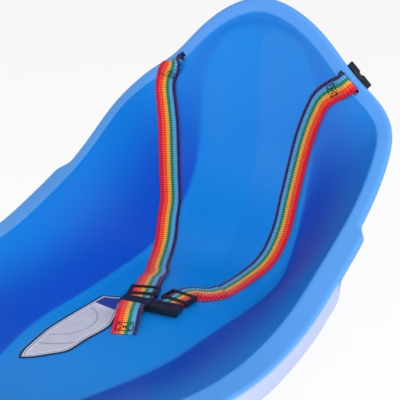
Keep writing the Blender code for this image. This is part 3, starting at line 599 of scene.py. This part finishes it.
def woven_band(name, line, harness):
    """Webbing: a flat profile with round edges carried along a line. Its faces rise and fall by a cosine of
    the distance run, which makes the ribs, and its edges swell with them, which scallops the selvedge."""
    middle, across, normal, run = line
    half, thick = harness.width / 2, harness.thick / 2
    edge = 1.04
    flat = np.linspace(-1, 1, 19)
    turn = np.linspace(0, math.pi, 6)[1:-1]
    low = np.stack([flat[::-1], 0 * flat - 1], axis=1)
    navy_edge = np.stack([-1 - (edge - 1) * np.sin(turn), -np.cos(turn)], axis=1)
    high = np.stack([flat, 0 * flat + 1], axis=1)
    red_edge = np.stack([1 + (edge - 1) * np.sin(turn), np.cos(turn)], axis=1)
    profile = np.vstack([low, navy_edge, high, red_edge])
    wave = 0.5 + 0.5 * np.cos(2 * math.pi * run / harness.rib)
    swell = 1.0 + 0.02 * wave
    rise = 0.86 + 0.14 * wave
    bow = 1.0 - 0.12 * np.abs(profile[:, 0]) ** 6
    wide = profile[None, :, 0] * half / edge * np.where(np.abs(profile[:, 0]) > 0.93, swell[:, None], 1.0)
    tall = profile[None, :, 1] * thick * rise[:, None] * bow[None, :]
    points = middle[:, None] + across[:, None] * wide[..., None] + normal[:, None] * tall[..., None]
    size = points.shape[:2]
    share = np.broadcast_to(0.5 + 0.5 * profile[:, 0] / edge, size)
    weave = np.stack([share, np.broadcast_to(run[:, None], size)], axis=-1).reshape(-1, 2)
    weave = np.vstack([weave, [[0.5, run[0]], [0.5, run[-1]]]])
    cloth = material_of("woven_polyester_rainbow", woven_polyester, harness)
    return put_mesh(name, *tube(points), cloth, {"weave": weave})


def woven_polyester(tree, shader, harness):
    """Woven polyester webbing: matt, with bright stripes along it, painted shade in the grooves between its
    ribs and painted highlight on its threads, dotted selvedges and a soft sheen."""
    place = add(tree, "UVMap", uv_map="weave")
    parts = add(tree, "SeparateXYZ", (place,))
    across, along = parts.outputs["X"], parts.outputs["Y"]
    # Threads wander a little, so that the stripes' edges are not ruled lines
    noise = add(tree, "TexNoise", {"Vector": place, "Scale": 900.0, "Detail": 1.0})
    wander = add(tree, "Math SUBTRACT", (noise, 0.5))
    shift = add(tree, "Math MULTIPLY_ADD", (wander, 0.035, across))
    tone = add(tree, "ValToRGB", (shift,), stops=[
        (0.0, harness.navy), (0.125, harness.azure), (0.165, harness.sky), (0.325, harness.green),
        (0.47, harness.amber), (0.635, harness.coral), (0.82, harness.crimson)])
    tone.color_ramp.interpolation = "CONSTANT"
    # Ribs across the webbing, one for each swell of the mesh, with the selvedge's dots between them
    turns = add(tree, "Math MULTIPLY", (along, 2 * math.pi / harness.rib))
    wave = add(tree, "Math COSINE", (turns,))
    groove = add(tree, "Math LESS_THAN", (wave, -0.1))
    for test, bound, dye in (("LESS_THAN", 0.07, harness.maroon), ("GREATER_THAN", 0.945, harness.magenta)):
        edge = add(tree, "Math " + test, (across, bound))
        dots = add(tree, "Math MULTIPLY", (groove, edge))
        tone = add(tree, "Mix", {0: dots, "A": tone, "B": dye}, data_type="RGBA")
    # Warp threads 0.9 mm apart, each a half step on from the next, painted lighter on top and darker in the
    # grooves as painted highlight and shade
    thread = add(tree, "Math SINE", (add(tree, "Math MULTIPLY", (across, math.pi * 28)),))
    step = add(tree, "Math SIGN", (thread,))
    knit = add(tree, "Math COSINE", (add(tree, "Math MULTIPLY_ADD", (step, 0.5, turns)),))
    shade = add(tree, "MapRange", {"Value": knit, "From Min": -1.0, "To Min": 0.66, "To Max": 1.16})
    cloth = add(tree, "HueSaturation", {"Color": tone, "Value": shade})
    height = add(tree, "Math ADD", (knit, add(tree, "Math ABSOLUTE", (thread,))))
    bump = add(tree, "Bump", {"Height": height, "Strength": 0.6, "Distance": 0.00025})
    feed(shader, {"Base Color": cloth, "Normal": bump, "Roughness": 0.75, "Sheen Weight": 0.15,
                  "Sheen Roughness": 0.4, "Specular IOR Level": 0.3})


def sewing_thread(tree, shader, harness):
    """Bonded nylon sewing thread: nearly black, with the light and dark turns of its twist."""
    place = add(tree, "TexCoord").outputs["Object"]
    # Twist drawn at 0.5 mm, twice its real size, so that it shows
    twist = add(tree, "TexNoise", {"Vector": place, "Scale": 2000.0, "Detail": 1.0})
    value = add(tree, "MapRange", {"Value": twist, "To Min": 0.6, "To Max": 1.6})
    body = add(tree, "HueSaturation", {"Color": harness.thread, "Value": value})
    feed(shader, {"Base Color": body, "Roughness": 0.55})


def stitches(name, line, rows, harness, body):
    """Sewn rows on a band's upper face. Each row is a list of (share across, distance run) corners. A stitch
    is a small arch: a ring of six points carried along it, whose size and height follow half a sine."""
    middle, across, normal, run = line
    step, gap, radius = 2.6 * MM, 0.3 * MM, 0.58 * MM
    spots = []
    for corners in rows:
        corners = np.array(corners) * (harness.width, 1.0)
        legs = np.linalg.norm(np.diff(corners, axis=0), axis=1)
        far = np.concatenate([[0.0], np.cumsum(legs)])
        starts = np.arange(0.0, far[-1] - step + 0.1 * MM, step)
        spots.append([[np.interp(starts + shift, far, corners[:, axis]) for axis in (0, 1)]
                      for shift in (0.0, step - gap)])
    spots = np.concatenate(spots, axis=2)
    arch = np.linspace(0.0, 1.0, 7)[:, None]
    u, v = spots[0][:, None] + (spots[1] - spots[0])[:, None] * arch

    def read(values):
        return np.stack([np.interp(v, run, values[:, axis]) for axis in range(3)], axis=-1)

    side, up = unit(read(across)), unit(read(normal))
    hump = np.sin(math.pi * arch)[..., None]
    sunk = 0.15 * MM
    lift = up * (harness.thick / 2 - sunk + radius * hump)
    path = read(middle) + side * (u[..., None] - harness.width / 2) + lift
    forward = unit(np.gradient(path, axis=0))
    right = unit(np.cross(forward, up))
    turn = np.linspace(0, 2 * math.pi, 7)[:-1]
    ring = path[1:-1, :, None] + radius * (0.35 + 0.65 * hump[1:-1, :, None]) * (
        right[1:-1, :, None] * np.cos(turn)[:, None] + up[1:-1, :, None] * np.sin(turn)[:, None])
    ring = ring.transpose(1, 0, 2, 3).reshape(1, ring.shape[1], -1, 3)
    points = np.concatenate([path[:1, :, None], ring, path[-1:, :, None]], axis=2)[0]
    count = points.shape[1]
    inner = 1 + np.arange(count - 2).reshape(-1, 6)
    one = [ring_faces(inner), fan_faces(inner[0], 0), fan_faces(inner[-1], count - 1)]
    base = np.arange(len(points))[:, None, None] * count
    faces = [(part + base).reshape(-1, part.shape[1]) for part in one]
    thread = material_of("bonded_nylon_thread", sewing_thread, harness)
    return finished(put_mesh(name, points.reshape(-1, 3), faces, thread), body, [])


def course_stops(course, side, tub, lift):
    """Stops of a strap over the tub's visible face, lifted clear of it."""
    stops = []
    for navy_station, navy_across, red_station, red_across in course:
        navy, navy_normal = on_tub(navy_station, navy_across, side, tub)
        red, red_normal = on_tub(red_station, red_across, side, tub)
        stops.append(((navy + red) / 2 + unit(navy_normal + red_normal) * lift, unit(red - navy)))
    return stops


def anchor_stops(side, tub, harness):
    """Stops from the sewn end inside, out through the slot, round the anchor's bar and back in."""
    middle, along, outward, behind = slot_axes(side)
    across = -along
    rest = harness.thick / 2 + CLEAR
    above = rest + harness.thick + CLEAR

    def stop(out, back, slip=0.0):
        return middle + outward * out + behind * back - along * slip, across

    # The left strap is dragged along its slot's lip by its own weight
    drag = 5.0 * MM if side < 0 else 0.0
    lip = SLOT_HALF_HIGH
    # How far behind the visible face the webbing stops running straight, and the middle of its bar lies
    straight, bar = 5.85 * MM, 8.45 * MM
    stops = [stop(-lip - 2.2 * MM, -rest), stop(-lip - 0.6 * MM, -rest)]
    stops += [stop(CLEAR - lip + harness.thick / 2, -harness.thick / 2)]
    stops += [stop(-LAYER, 0.4 * tub.wall), stop(-LAYER, straight)]
    stops += [stop(-LAYER * math.cos(t), bar + LAYER * math.sin(t)) for t in HALF_TURN]
    stops += [stop(LAYER, straight), stop(LAYER, 0.0)]
    stops += [stop(LAYER - 1.2 * MM, -above - 1.0 * MM, 0.3 * drag)]
    return stops + [stop(-3.0 * MM, -above - harness.thick - CLEAR, drag)]


def bar_stops(bar, back, across, axis):
    """Stops from under a bar, round its far side and back over it."""
    forward = np.cross(UP, axis)
    forward = forward if forward @ back < 0 else -forward
    slant = unit(across + 2 * axis)
    behind = back * (LAYER + 1.5 * MM)
    arc = [(bar + LAYER * (-UP * math.cos(t) + forward * math.sin(t)), axis) for t in HALF_TURN]
    return [(bar - UP * LAYER + behind, slant)] + arc + [(bar + UP * LAYER + behind, slant)]


def left_stops(tub, harness):
    """Left webbing: anchor loop, the wing of the backrest, under the adjuster, round the socket's bar and
    back on top, through the adjuster to the cut end."""
    back, across = heading_axes(LEFT_HEADING)
    stops = anchor_stops(-1.0, tub, harness) + course_stops(LEFT_COURSE, -1.0, tub, COURSE_LIFT)
    low = LEFT_BAR - UP * LAYER
    head = ((78, 0.8), (62, 0.3), (44, 0.0), (26, 0.0), (10, 0.0))
    stops += [(low + back * d * MM + UP * rise * MM, -across) for d, rise in head]
    stops += bar_stops(LEFT_BAR, back, -across, -LOOP_AXIS)
    high = LEFT_BAR + UP * LAYER
    shift = across * 2.0 * MM
    # The tail runs straight as far as the slide can travel, and drifts sideways only behind that
    tail = ((10, 0.0, 0.0), (17, 0.0, 0.0), (30, 0.0, 0.0), (45, 0.0, 0.0), (54, 0.6, 0.0), (61, 1.7, 0.6),
            (68, 2.1, 1.0), (77, 2.1, 1.0))
    stops += [(high + back * d * MM - UP * drop * MM + shift * share, -across) for d, drop, share in tail]
    return stops


# The right webbing on the floor, from its bar: across and back, and its turn in degrees
RIGHT_BEND = ((26.0, 67.5, 10), (24.6, 57.0, -8), (20.0, 47.5, -28), (12.5, 41.0, -34), (5.5, 37.0, -18))


def right_stops(tub, harness):
    """Right webbing: anchor loop, down the backrest, along the floor, round the plug's bar, back on top."""
    back, across = heading_axes(RIGHT_HEADING)
    stops = anchor_stops(1.0, tub, harness) + course_stops(RIGHT_COURSE, 1.0, tub, COURSE_LIFT)
    low = [(RIGHT_BAR + np.array([x * MM, y * MM, 0.5 * MM - LAYER]), heading_axes(turn)[1])
           for x, y, turn in RIGHT_BEND]
    stops += low + [(RIGHT_BAR - UP * LAYER + back * d * MM, across) for d in (27, 18, 9)]
    stops += bar_stops(RIGHT_BAR, back, across, LOOP_AXIS)
    high = RIGHT_BAR + UP * LAYER
    stops += [(high + back * d * MM, across) for d in (10, 20, 31)]
    # The upper layer bends a little behind the lower one, clear of where the slide can travel
    for (place, side), drop in zip(low[:0:-1], (1.0, 2.0, 2.4, 2.4)):
        stops.append((place + back * 2.6 * MM + UP * (2 * LAYER - 0.5 * MM - drop * MM), side))
    return stops


def tab_stops(harness):
    """Pull tab: sewn round the socket's front bar, level at first, then drooping to the floor."""
    back, across = heading_axes(TAB_HEADING)
    forward = -back
    axis = LOOP_AXIS
    level = 14 * MM
    under = LAYER - harness.thick - 2 * CLEAR
    away = -np.cross(UP, axis) if np.cross(UP, axis) @ forward < 0 else np.cross(UP, axis)
    stops = [(TAB_BAR + forward * level + UP * under, across)]
    stops += [(TAB_BAR + forward * level * share - UP * LAYER, unit(across + axis)) for share in (0.6, 0.3)]
    stops += [(TAB_BAR + LAYER * (-UP * math.cos(t) - away * math.sin(t)), axis) for t in HALF_TURN]
    top = TAB_BAR + UP * LAYER
    drop = top[2] - (3 * MM + CLEAR + harness.thick / 2)
    shape = ((0.5, 0.0), (1.0, 0.0), (1.4, 0.14), (1.8, 0.42), (2.2, 0.68), (2.6, 0.86), (3.0, 0.96),
             (3.33, 1.0))
    stops += [(top + forward * level * out - UP * drop * down, across) for out, down in shape]
    return [(place, -side) for place, side in stops]


def slot_run(line, course, side, tub):
    """Distance run at which a strap passes its course's first row most closely, past its anchor's loop."""
    middle, _, _, run = line
    spot = course_stops(course[:1], side, tub, 0.0)[0][0]
    far = np.linalg.norm(middle - spot, axis=1) + (run < LOOP_RUN)
    return run[far.argmin()]


def box_stitch(low, high, start, end):
    """A sewn box with a cross in it, between two shares across and two distances run."""
    corners = [(low, start), (high, start), (high, end), (low, end)]
    return [corners + corners[:1], [corners[0], corners[2]], [corners[1], corners[3]]]


def make_left_webbing(tub, harness):
    """The left shoulder webbing and its stitching."""
    line = ribbon(left_stops(tub, harness), BAND_STEP, -1.0)
    finished(woven_band("left_webbing", line, harness), "tub", ["left_strap"])
    at_slot = slot_run(line, LEFT_COURSE, -1.0, tub)
    near, far = line[3][-1] - 16 * MM, line[3][-1] - 13 * MM
    rows = box_stitch(0.08, 0.5, at_slot - 9 * MM, at_slot - 3 * MM)
    rows += [[(0.08, at_slot - 1 * MM), (0.92, at_slot - 1 * MM)]]
    rows += [[(0.62, near), (0.95, far)], [(0.62, far), (0.95, near)]]
    stitches("left_stitching", line, rows, harness, "tub")


def make_right_webbing(tub, harness):
    """The right shoulder webbing, which bends where the plug is drawn out, and its stitching."""
    line = ribbon(right_stops(tub, harness), BAND_STEP, 1.0)
    made = woven_band("right_webbing", line, harness)
    finished(made, None, ["right_strap", "right_strap_end"])
    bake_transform(made)
    at_slot = slot_run(line, RIGHT_COURSE, 1.0, tub)
    rows = box_stitch(0.22, 0.72, at_slot - 7 * MM, at_slot + 4 * MM)
    rows += [[(0.22, at_slot - 2 * MM), (0.72, at_slot + 1 * MM)]]
    stitches("right_stitching", line, rows, harness, "tub")


def make_pull_tab(harness):
    """The sewn pull tab in front of the buckle, with a cross sewn in a box."""
    line = ribbon(tab_stops(harness), BAND_STEP, -1.0)
    finished(woven_band("pull_tab_webbing", line, harness), "tub", ["pull_tab"])
    end = line[3][-1]
    stitches("tab_stitching", line, box_stitch(0.2, 0.86, end - 16 * MM, end - 4 * MM), harness, "tub")


def acetal(tree, shader, hardware):
    """Moulded acetal: nearly black, smooth, with a tight soft highlight and fine handling marks."""
    place = add(tree, "TexCoord").outputs["Object"]
    marks = add(tree, "TexNoise", {"Vector": place, "Scale": 700.0, "Detail": 4.0})
    rough = add(tree, "MapRange", {"Value": marks, "To Min": 0.22, "To Max": 0.42})
    shade = add(tree, "MapRange", {"Value": marks, "To Min": 0.7, "To Max": 1.5})
    body = add(tree, "HueSaturation", {"Color": hardware.black, "Value": shade})
    bump = add(tree, "Bump", {"Height": marks, "Strength": 0.15, "Distance": 0.0002})
    feed(shader, {"Base Color": body, "Roughness": rough, "Normal": bump})


def fused(name, node, hardware, body, joined=(), rounds=4):
    """A moulding: a merged copy of a solid with its extra ribs, remeshed in small cells and smoothed, so that
    its edges are round."""
    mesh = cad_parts[node].data.copy()
    mesh.materials.clear()
    shape = bmesh.new()
    shape.from_mesh(mesh)
    bmesh.ops.remove_doubles(shape, verts=shape.verts, dist=0.00001)
    shape.to_mesh(mesh)
    shape.free()
    made = placed(name, mesh)
    if joined:
        combine(made, joined, "UNION")
    cells = made.modifiers.new("cells", "REMESH")
    cells.mode = "VOXEL"
    cells.voxel_size = hardware.grain
    cells.use_smooth_shade = True
    soften = made.modifiers.new("soften", "SMOOTH")
    soften.factor = 0.5
    soften.iterations = rounds
    bake(made)
    made.data.materials.append(material_of("moulded_acetal_black", acetal, hardware))
    return finished(made, body, [node])


# Ribs on the right anchor's outer bar: places along it and distance out from the slot, in millimetres, then
# how far behind the visible face they start and end
ANCHOR_RIBS, ANCHOR_RIBS_OUT = (-13.5, -10.5, -7.5, 7.5, 10.5, 13.5), 13.0
ANCHOR_RIB_DEPTH = (5.1 * MM, 6.6 * MM)


def make_anchors(hardware):
    """The two slides behind the backrest. The right one's outer bar is wide and has small ribs."""
    outline = rounded_outline(0.7 * MM, 2.4 * MM, 0.6 * MM)
    for side, name in ((-1.0, "left"), (1.0, "right")):
        middle, along, outward, behind = slot_axes(side)
        spots = [middle + along * place * MM + outward * ANCHOR_RIBS_OUT * MM for place in ANCHOR_RIBS]
        ribs = [prism(outline, *ANCHOR_RIB_DEPTH, (spot, along, outward, behind)) for spot in spots if side > 0]
        fused(name + "_anchor_slide", name + "_anchor_bar", hardware, "tub", ribs, rounds=9)


def make_adjusters(hardware):
    """The two slides on the webbing."""
    fused("left_strap_slide", "left_adjuster", hardware, "left_slide", rounds=7)
    fused("right_strap_slide", "right_adjuster", hardware, "right_slide", rounds=7)


BUCKLE_MIDDLE = np.array([1.5, 81.0, 4.0]) * MM
BUCKLE_AXES = (LOOP_AXIS, np.cross(UP, LOOP_AXIS), UP)


def buckle_rib(x, y, half_x, half_y, low, high):
    """A rounded rib of the buckle, placed in the buckle's own frame, in millimetres."""
    origin = BUCKLE_MIDDLE + BUCKLE_AXES[0] * x * MM + BUCKLE_AXES[1] * y * MM
    outline = rounded_outline(half_x * MM, half_y * MM, 0.9 * min(half_x, half_y) * MM)
    return prism(outline, low * MM, high * MM, (origin, *BUCKLE_AXES))


def make_buckle(hardware):
    """Socket, plug and the two prongs of the side-release buckle, with grip ribs on both halves."""
    grip = [buckle_rib(x, 0.0, 0.7, 4.3, 7.0, 8.3) for x in (13.0, 16.5, 20.0)]
    edge = [buckle_rib(-25.0, 0.0, 1.0, 6.2, 8.0, 9.1), buckle_rib(-13.0, 0.0, 7.0, 0.9, 8.0, 8.9)]
    fused("buckle_housing", "buckle_socket", hardware, "tub", edge)
    fused("buckle_plug", "buckle_tongue", hardware, "plug", grip)
    fused("back_prong_arm", "back_prong", hardware, "back_spring")
    fused("front_prong_arm", "front_prong", hardware, "front_spring")


LABEL_OUTLINE = (
    (-41.6, -60.1), (-49.5, -46), (-58.3, -5.8), (-60, 28.5), (-60, 63.8), (-59.6, 80.3), (-50.2, 84.8),
    (-36, 87.1), (-10.4, 34.6), (-11.4, -1.4), (-10.9, -21.8), (-13.5, -31.2), (-30.6, -52.9),
)
LABEL_MIDDLE = np.array([-35.0, 18.0]) * MM
LABEL_LOW, LABEL_HIGH = 3.3 * MM, 3.62 * MM
# Distances of the print from the label's edge, and how far back the panel ends and the patch begins
PANEL_INSET, PATCH_INSET, PANEL_END, PATCH_START = 7.5 * MM, 5 * MM, 52 * MM, 58 * MM
HATCH_STEP, ARC_HALF_WIDTH, ARC_CENTRE = 5 * MM, 1.0 * MM, (-0.060, 0.020, 0.0)


def label_film(tree, shader, label):
    """Printed film, smooth and slightly glossy: pale ground with a dark border, an inner panel with a soft
    slanting hatch and two arcs, and a blue patch."""
    place = add(tree, "TexCoord").outputs["Object"]
    inset = add(tree, "Attribute", attribute_name="inset").outputs["Fac"]
    # Axes of the print, in metres from the part's origin: X back along the label, Y across it
    turned = add(tree, "Mapping", {"Vector": place, "Rotation": (0, 0, math.radians(-84))})
    parts = add(tree, "SeparateXYZ", (turned,))
    far, wide = parts.outputs["X"], parts.outputs["Y"]
    # Inner panel, with hatch lines that slant across it
    inside = add(tree, "Math GREATER_THAN", (inset, PANEL_INSET))
    panel = add(tree, "Math MULTIPLY", (inside, add(tree, "Math LESS_THAN", (far, PANEL_END))))
    slant = add(tree, "Math MULTIPLY_ADD", (wide, 0.45, far))
    wave = add(tree, "Math SINE", (add(tree, "Math MULTIPLY", (slant, 2 * math.pi / HATCH_STEP)),))
    hatch = add(tree, "Math MULTIPLY", (add(tree, "Math GREATER_THAN", (wave, 0.1)), 0.55))
    hatch = add(tree, "Math MULTIPLY", (panel, add(tree, "Math ADD", (hatch, 0.25))))
    layers = [(hatch, label.panel)]
    # Two broad soft arcs over the panel, like drifts of snow
    spot = add(tree, "VectorMath DISTANCE", (place, ARC_CENTRE))
    for radius, depth in ((52, 0.5), (34, 0.35)):
        off = add(tree, "Math ABSOLUTE", (add(tree, "Math SUBTRACT", (spot, radius * MM)),))
        band = add(tree, "Math MULTIPLY", (add(tree, "Math LESS_THAN", (off, ARC_HALF_WIDTH)), panel))
        layers.append((add(tree, "Math MULTIPLY", (band, depth)), label.patch))
    # Blue patch at the far end
    inside = add(tree, "Math GREATER_THAN", (inset, PATCH_INSET))
    back = add(tree, "Math GREATER_THAN", (far, PATCH_START))
    layers.append((add(tree, "Math MULTIPLY", (back, inside)), label.patch))
    # A dark border, a pale gap and a thin dark line inside it, on a ramp that is 10 mm long
    edge = add(tree, "ValToRGB", (add(tree, "Math MULTIPLY", (inset, 100.0)),), stops=[
        (0.0, (1, 1, 1, 1)), (label.line * 100, (0, 0, 0, 1)),
        (0.4, (0.8, 0.8, 0.8, 1)), (0.48, (0, 0, 0, 1))])
    edge.color_ramp.interpolation = "CONSTANT"
    layers.append((edge, label.border))
    tone = label.ground
    for share, shade in layers:
        tone = add(tree, "Mix", {0: share, "A": tone, "B": shade}, data_type="RGBA")
    blotch = add(tree, "TexNoise", {"Vector": place, "Scale": 60.0, "Detail": 3.0})
    pale = add(tree, "MapRange", {"Value": blotch, "To Min": 0.9, "To Max": 1.08})
    body = add(tree, "HueSaturation", {"Color": tone, "Value": pale})
    feed(shader, {"Base Color": body, "Roughness": 0.35})


def make_label(label):
    """Label: rings from its outline to its middle, a little above the floor, with the distance to the outline
    kept for the print. The outline is a closed cubic through its corners, blended with straight lines."""
    corners = np.array(LABEL_OUTLINE) * MM
    a, b, c, d = (np.roll(corners, shift, axis=0) for shift in (1, 0, -1, -2))
    t = np.linspace(0, 1, 17)[:-1, None, None]
    soft = 0.5 * (2 * b + (c - a) * t + (2 * a - 5 * b + 4 * c - d) * t ** 2
                  + (3 * b - a - 3 * c + d) * t ** 3)
    line = (0.55 * soft + 0.45 * (b + (c - b) * t)).transpose(1, 0, 2).reshape(-1, 2)
    share = np.concatenate([np.linspace(1.0, 0.8, 13), np.linspace(0.8, 0.0, 17)[1:-1]])
    rings = LABEL_MIDDLE + (line - LABEL_MIDDLE) * share[:, None, None]
    spots = np.vstack([rings.reshape(-1, 2), line, [LABEL_MIDDLE, LABEL_MIDDLE]])
    ahead = np.roll(line, -1, axis=0) - line
    reach = spots[:, None] - line[None]
    nearest = np.clip((reach * ahead).sum(-1) / (ahead ** 2).sum(-1), 0, 1)
    inset = np.linalg.norm(reach - nearest[..., None] * ahead, axis=-1).min(axis=1)
    count = len(line)
    height = np.full(len(spots), LABEL_HIGH)
    height[:count] -= 0.1 * MM
    height[-count - 2:] = LABEL_LOW
    height[-2] = LABEL_HIGH
    index = np.arange(len(share) * count).reshape(-1, count)
    skirt = index[-1] + count
    faces = [ring_faces(index), fan_faces(index[-1], len(spots) - 2), ring_faces(np.array([index[0], skirt])),
             fan_faces(skirt, len(spots) - 1)]
    film = material_of("printed_film_label", label_film, label)
    made = put_mesh("label", np.column_stack([spots, height]), faces, film, {"inset": inset})
    return finished(made, "tub", ["floor_label"])


# Lamps: setting that holds the power, place, width, and whether shiny faces show them
AIM = (0.0, 0.1, 0.1)
LAMPS = (
    ("overhead", (0.1, 0.1, 1.9), 1.4, False),
    ("right", (1.2, 0.9, 1.2), 0.9, False),
    ("front", (1.0, -1.35, 0.95), 0.9, False),
    ("key", (-0.78, 0.35, 1.56), 1.2, True),
    ("low", (-0.42, -0.24, 0.1), 0.14, True),
)


CAMERA_PLACE, CAMERA_TILT, CAMERA_TURN = (0.48434, -0.56688, 0.40843), 70.3, 33.2
# How white the floor looks to the camera and in reflections, over the card that takes the shadows
FLOOR_GLOW = 0.9
FLOOR_REACH, FLOOR_LEVEL = 6.0, -0.5 * MM


def white_card(tree, shader):
    """White card under a white glow, so that the floor is nearly white and keeps a share of the shadow."""
    tree.nodes.remove(shader)
    path = add(tree, "LightPath").outputs
    seen = add(tree, "Math MAXIMUM", (path["Is Camera Ray"], path["Is Glossy Ray"]))
    share = add(tree, "Math MULTIPLY", (seen, FLOOR_GLOW))
    card = add(tree, "BsdfDiffuse", {"Color": (0.9, 0.9, 0.9, 1)})
    glow = add(tree, "Emission", {"Color": (1, 1, 1, 1), "Strength": 1.0})
    feed(tree.nodes["Material Output"], {"Surface": add(tree, "MixShader", (share, card, glow))})


def make_stage(stage):
    """Camera, lamps, a studio whose pale backdrop ends above the horizon, and a white floor."""
    scene = bpy.context.scene
    scene.view_settings.view_transform = "Standard"
    lens = bpy.data.cameras.new("camera")
    lens.lens = stage.lens
    lens.sensor_width = 36.0
    lens.clip_start = 0.01
    scene.camera = placed("camera", lens)
    scene.camera.location = CAMERA_PLACE
    scene.camera.rotation_euler = Euler((math.radians(CAMERA_TILT), 0.0, math.radians(CAMERA_TURN)))
    scene.world = bpy.data.worlds.new("studio")
    scene.world.use_nodes = True
    tree = scene.world.node_tree
    path = add(tree, "LightPath").outputs
    height = add(tree, "SeparateXYZ", (add(tree, "TexCoord").outputs["Generated"],)).outputs["Z"]
    backdrop = add(tree, "MapRange", interpolation_type="SMOOTHSTEP", inputs={
        "Value": height, "From Min": 0.36, "From Max": 0.6, "To Min": 1.0, "To Max": 0.1})
    shiny = add(tree, "Math MAXIMUM", (path["Is Glossy Ray"], path["Is Transmission Ray"]))
    lit = add(tree, "Mix", {0: shiny, "A": stage.fill, "B": backdrop})
    seen = add(tree, "Mix", {0: path["Is Camera Ray"], "A": lit, "B": 1.0})
    feed(tree.nodes["Background"], {"Color": (1, 1, 1, 1), "Strength": seen})
    for name, spot, size, shows in LAMPS:
        lamp = bpy.data.lights.new(name, "AREA")
        lamp.shape = "DISK"
        lamp.size = size
        lamp.energy = getattr(stage, name)
        made = placed(name, lamp)
        made.visible_glossy = shows
        made.visible_camera = False
        made.location = spot
        made.rotation_euler = (Vector(AIM) - Vector(spot)).to_track_quat("-Z", "Y").to_euler()
    square = np.array([(-1, -1), (1, -1), (1, 1), (-1, 1)]) * FLOOR_REACH
    corners = np.column_stack([square, np.full(4, FLOOR_LEVEL)])
    card = material_of("white_card_floor", white_card)
    put_mesh("floor", corners, [[(0, 1, 2, 3)]], card, smooth=False)


class SLED_OT_stage(bpy.types.Operator):
    """Set the camera, lamps and floor"""

    bl_idname = "sled.stage"
    bl_label = "Stage"

    def execute(self, context):
        make_stage(context.scene.sled_stage)
        return {"FINISHED"}


class SLED_OT_tub(bpy.types.Operator):
    """Build the moulded tub"""

    bl_idname = "sled.tub"
    bl_label = "Moulded tub"

    def execute(self, context):
        make_tub(context.scene.sled_tub)
        return {"FINISHED"}


class SLED_OT_webbing(bpy.types.Operator):
    """Build the two shoulder straps and the pull tab"""

    bl_idname = "sled.webbing"
    bl_label = "Webbing"

    def execute(self, context):
        scene = context.scene
        make_left_webbing(scene.sled_tub, scene.sled_harness)
        make_right_webbing(scene.sled_tub, scene.sled_harness)
        make_pull_tab(scene.sled_harness)
        return {"FINISHED"}


class SLED_OT_slides(bpy.types.Operator):
    """Build the anchors and the strap adjusters"""

    bl_idname = "sled.slides"
    bl_label = "Slides"

    def execute(self, context):
        make_anchors(context.scene.sled_hardware)
        make_adjusters(context.scene.sled_hardware)
        return {"FINISHED"}


class SLED_OT_buckle(bpy.types.Operator):
    """Build the side-release buckle"""

    bl_idname = "sled.buckle"
    bl_label = "Buckle"

    def execute(self, context):
        make_buckle(context.scene.sled_hardware)
        return {"FINISHED"}


class SLED_OT_label(bpy.types.Operator):
    """Build the label on the floor"""

    bl_idname = "sled.label"
    bl_label = "Label"

    def execute(self, context):
        make_label(context.scene.sled_label)
        return {"FINISHED"}


GROUPS = (("sled_stage", SledStage), ("sled_tub", SledTub), ("sled_harness", SledHarness),
          ("sled_hardware", SledHardware), ("sled_label", SledLabel))
OPERATORS = (SLED_OT_stage, SLED_OT_tub, SLED_OT_webbing, SLED_OT_slides, SLED_OT_buckle, SLED_OT_label)


class SLED_PT_panel(bpy.types.Panel):
    """Lists the sled's pieces and their settings"""

    bl_idname = "SLED_PT_panel"
    bl_label = "Sled"
    bl_space_type = "VIEW_3D"
    bl_region_type = "UI"
    bl_category = "Sled"

    def draw(self, context):
        for name, group in GROUPS:
            box = self.layout.box()
            for key in group.__annotations__:
                box.prop(getattr(context.scene, name), key)
        for operator in OPERATORS:
            self.layout.operator(operator.bl_idname)


CLASSES = tuple(group for _, group in GROUPS) + OPERATORS + (SLED_PT_panel,)


def register():
    """Add the classes and the settings to Blender."""
    for item in CLASSES:
        bpy.utils.register_class(item)
    for name, group in GROUPS:
        setattr(bpy.types.Scene, name, bpy.props.PointerProperty(type=group))


def unregister():
    """Take the settings and the classes away again."""
    for name, _ in GROUPS:
        delattr(bpy.types.Scene, name)
    for item in reversed(CLASSES):
        bpy.utils.unregister_class(item)


def main():
    """Build everything in order."""
    register()
    for operator in OPERATORS:
        group, name = operator.bl_idname.split(".")
        getattr(getattr(bpy.ops, group), name)()
    bpy.context.view_layer.update()


if __name__ == "__main__":
    main()
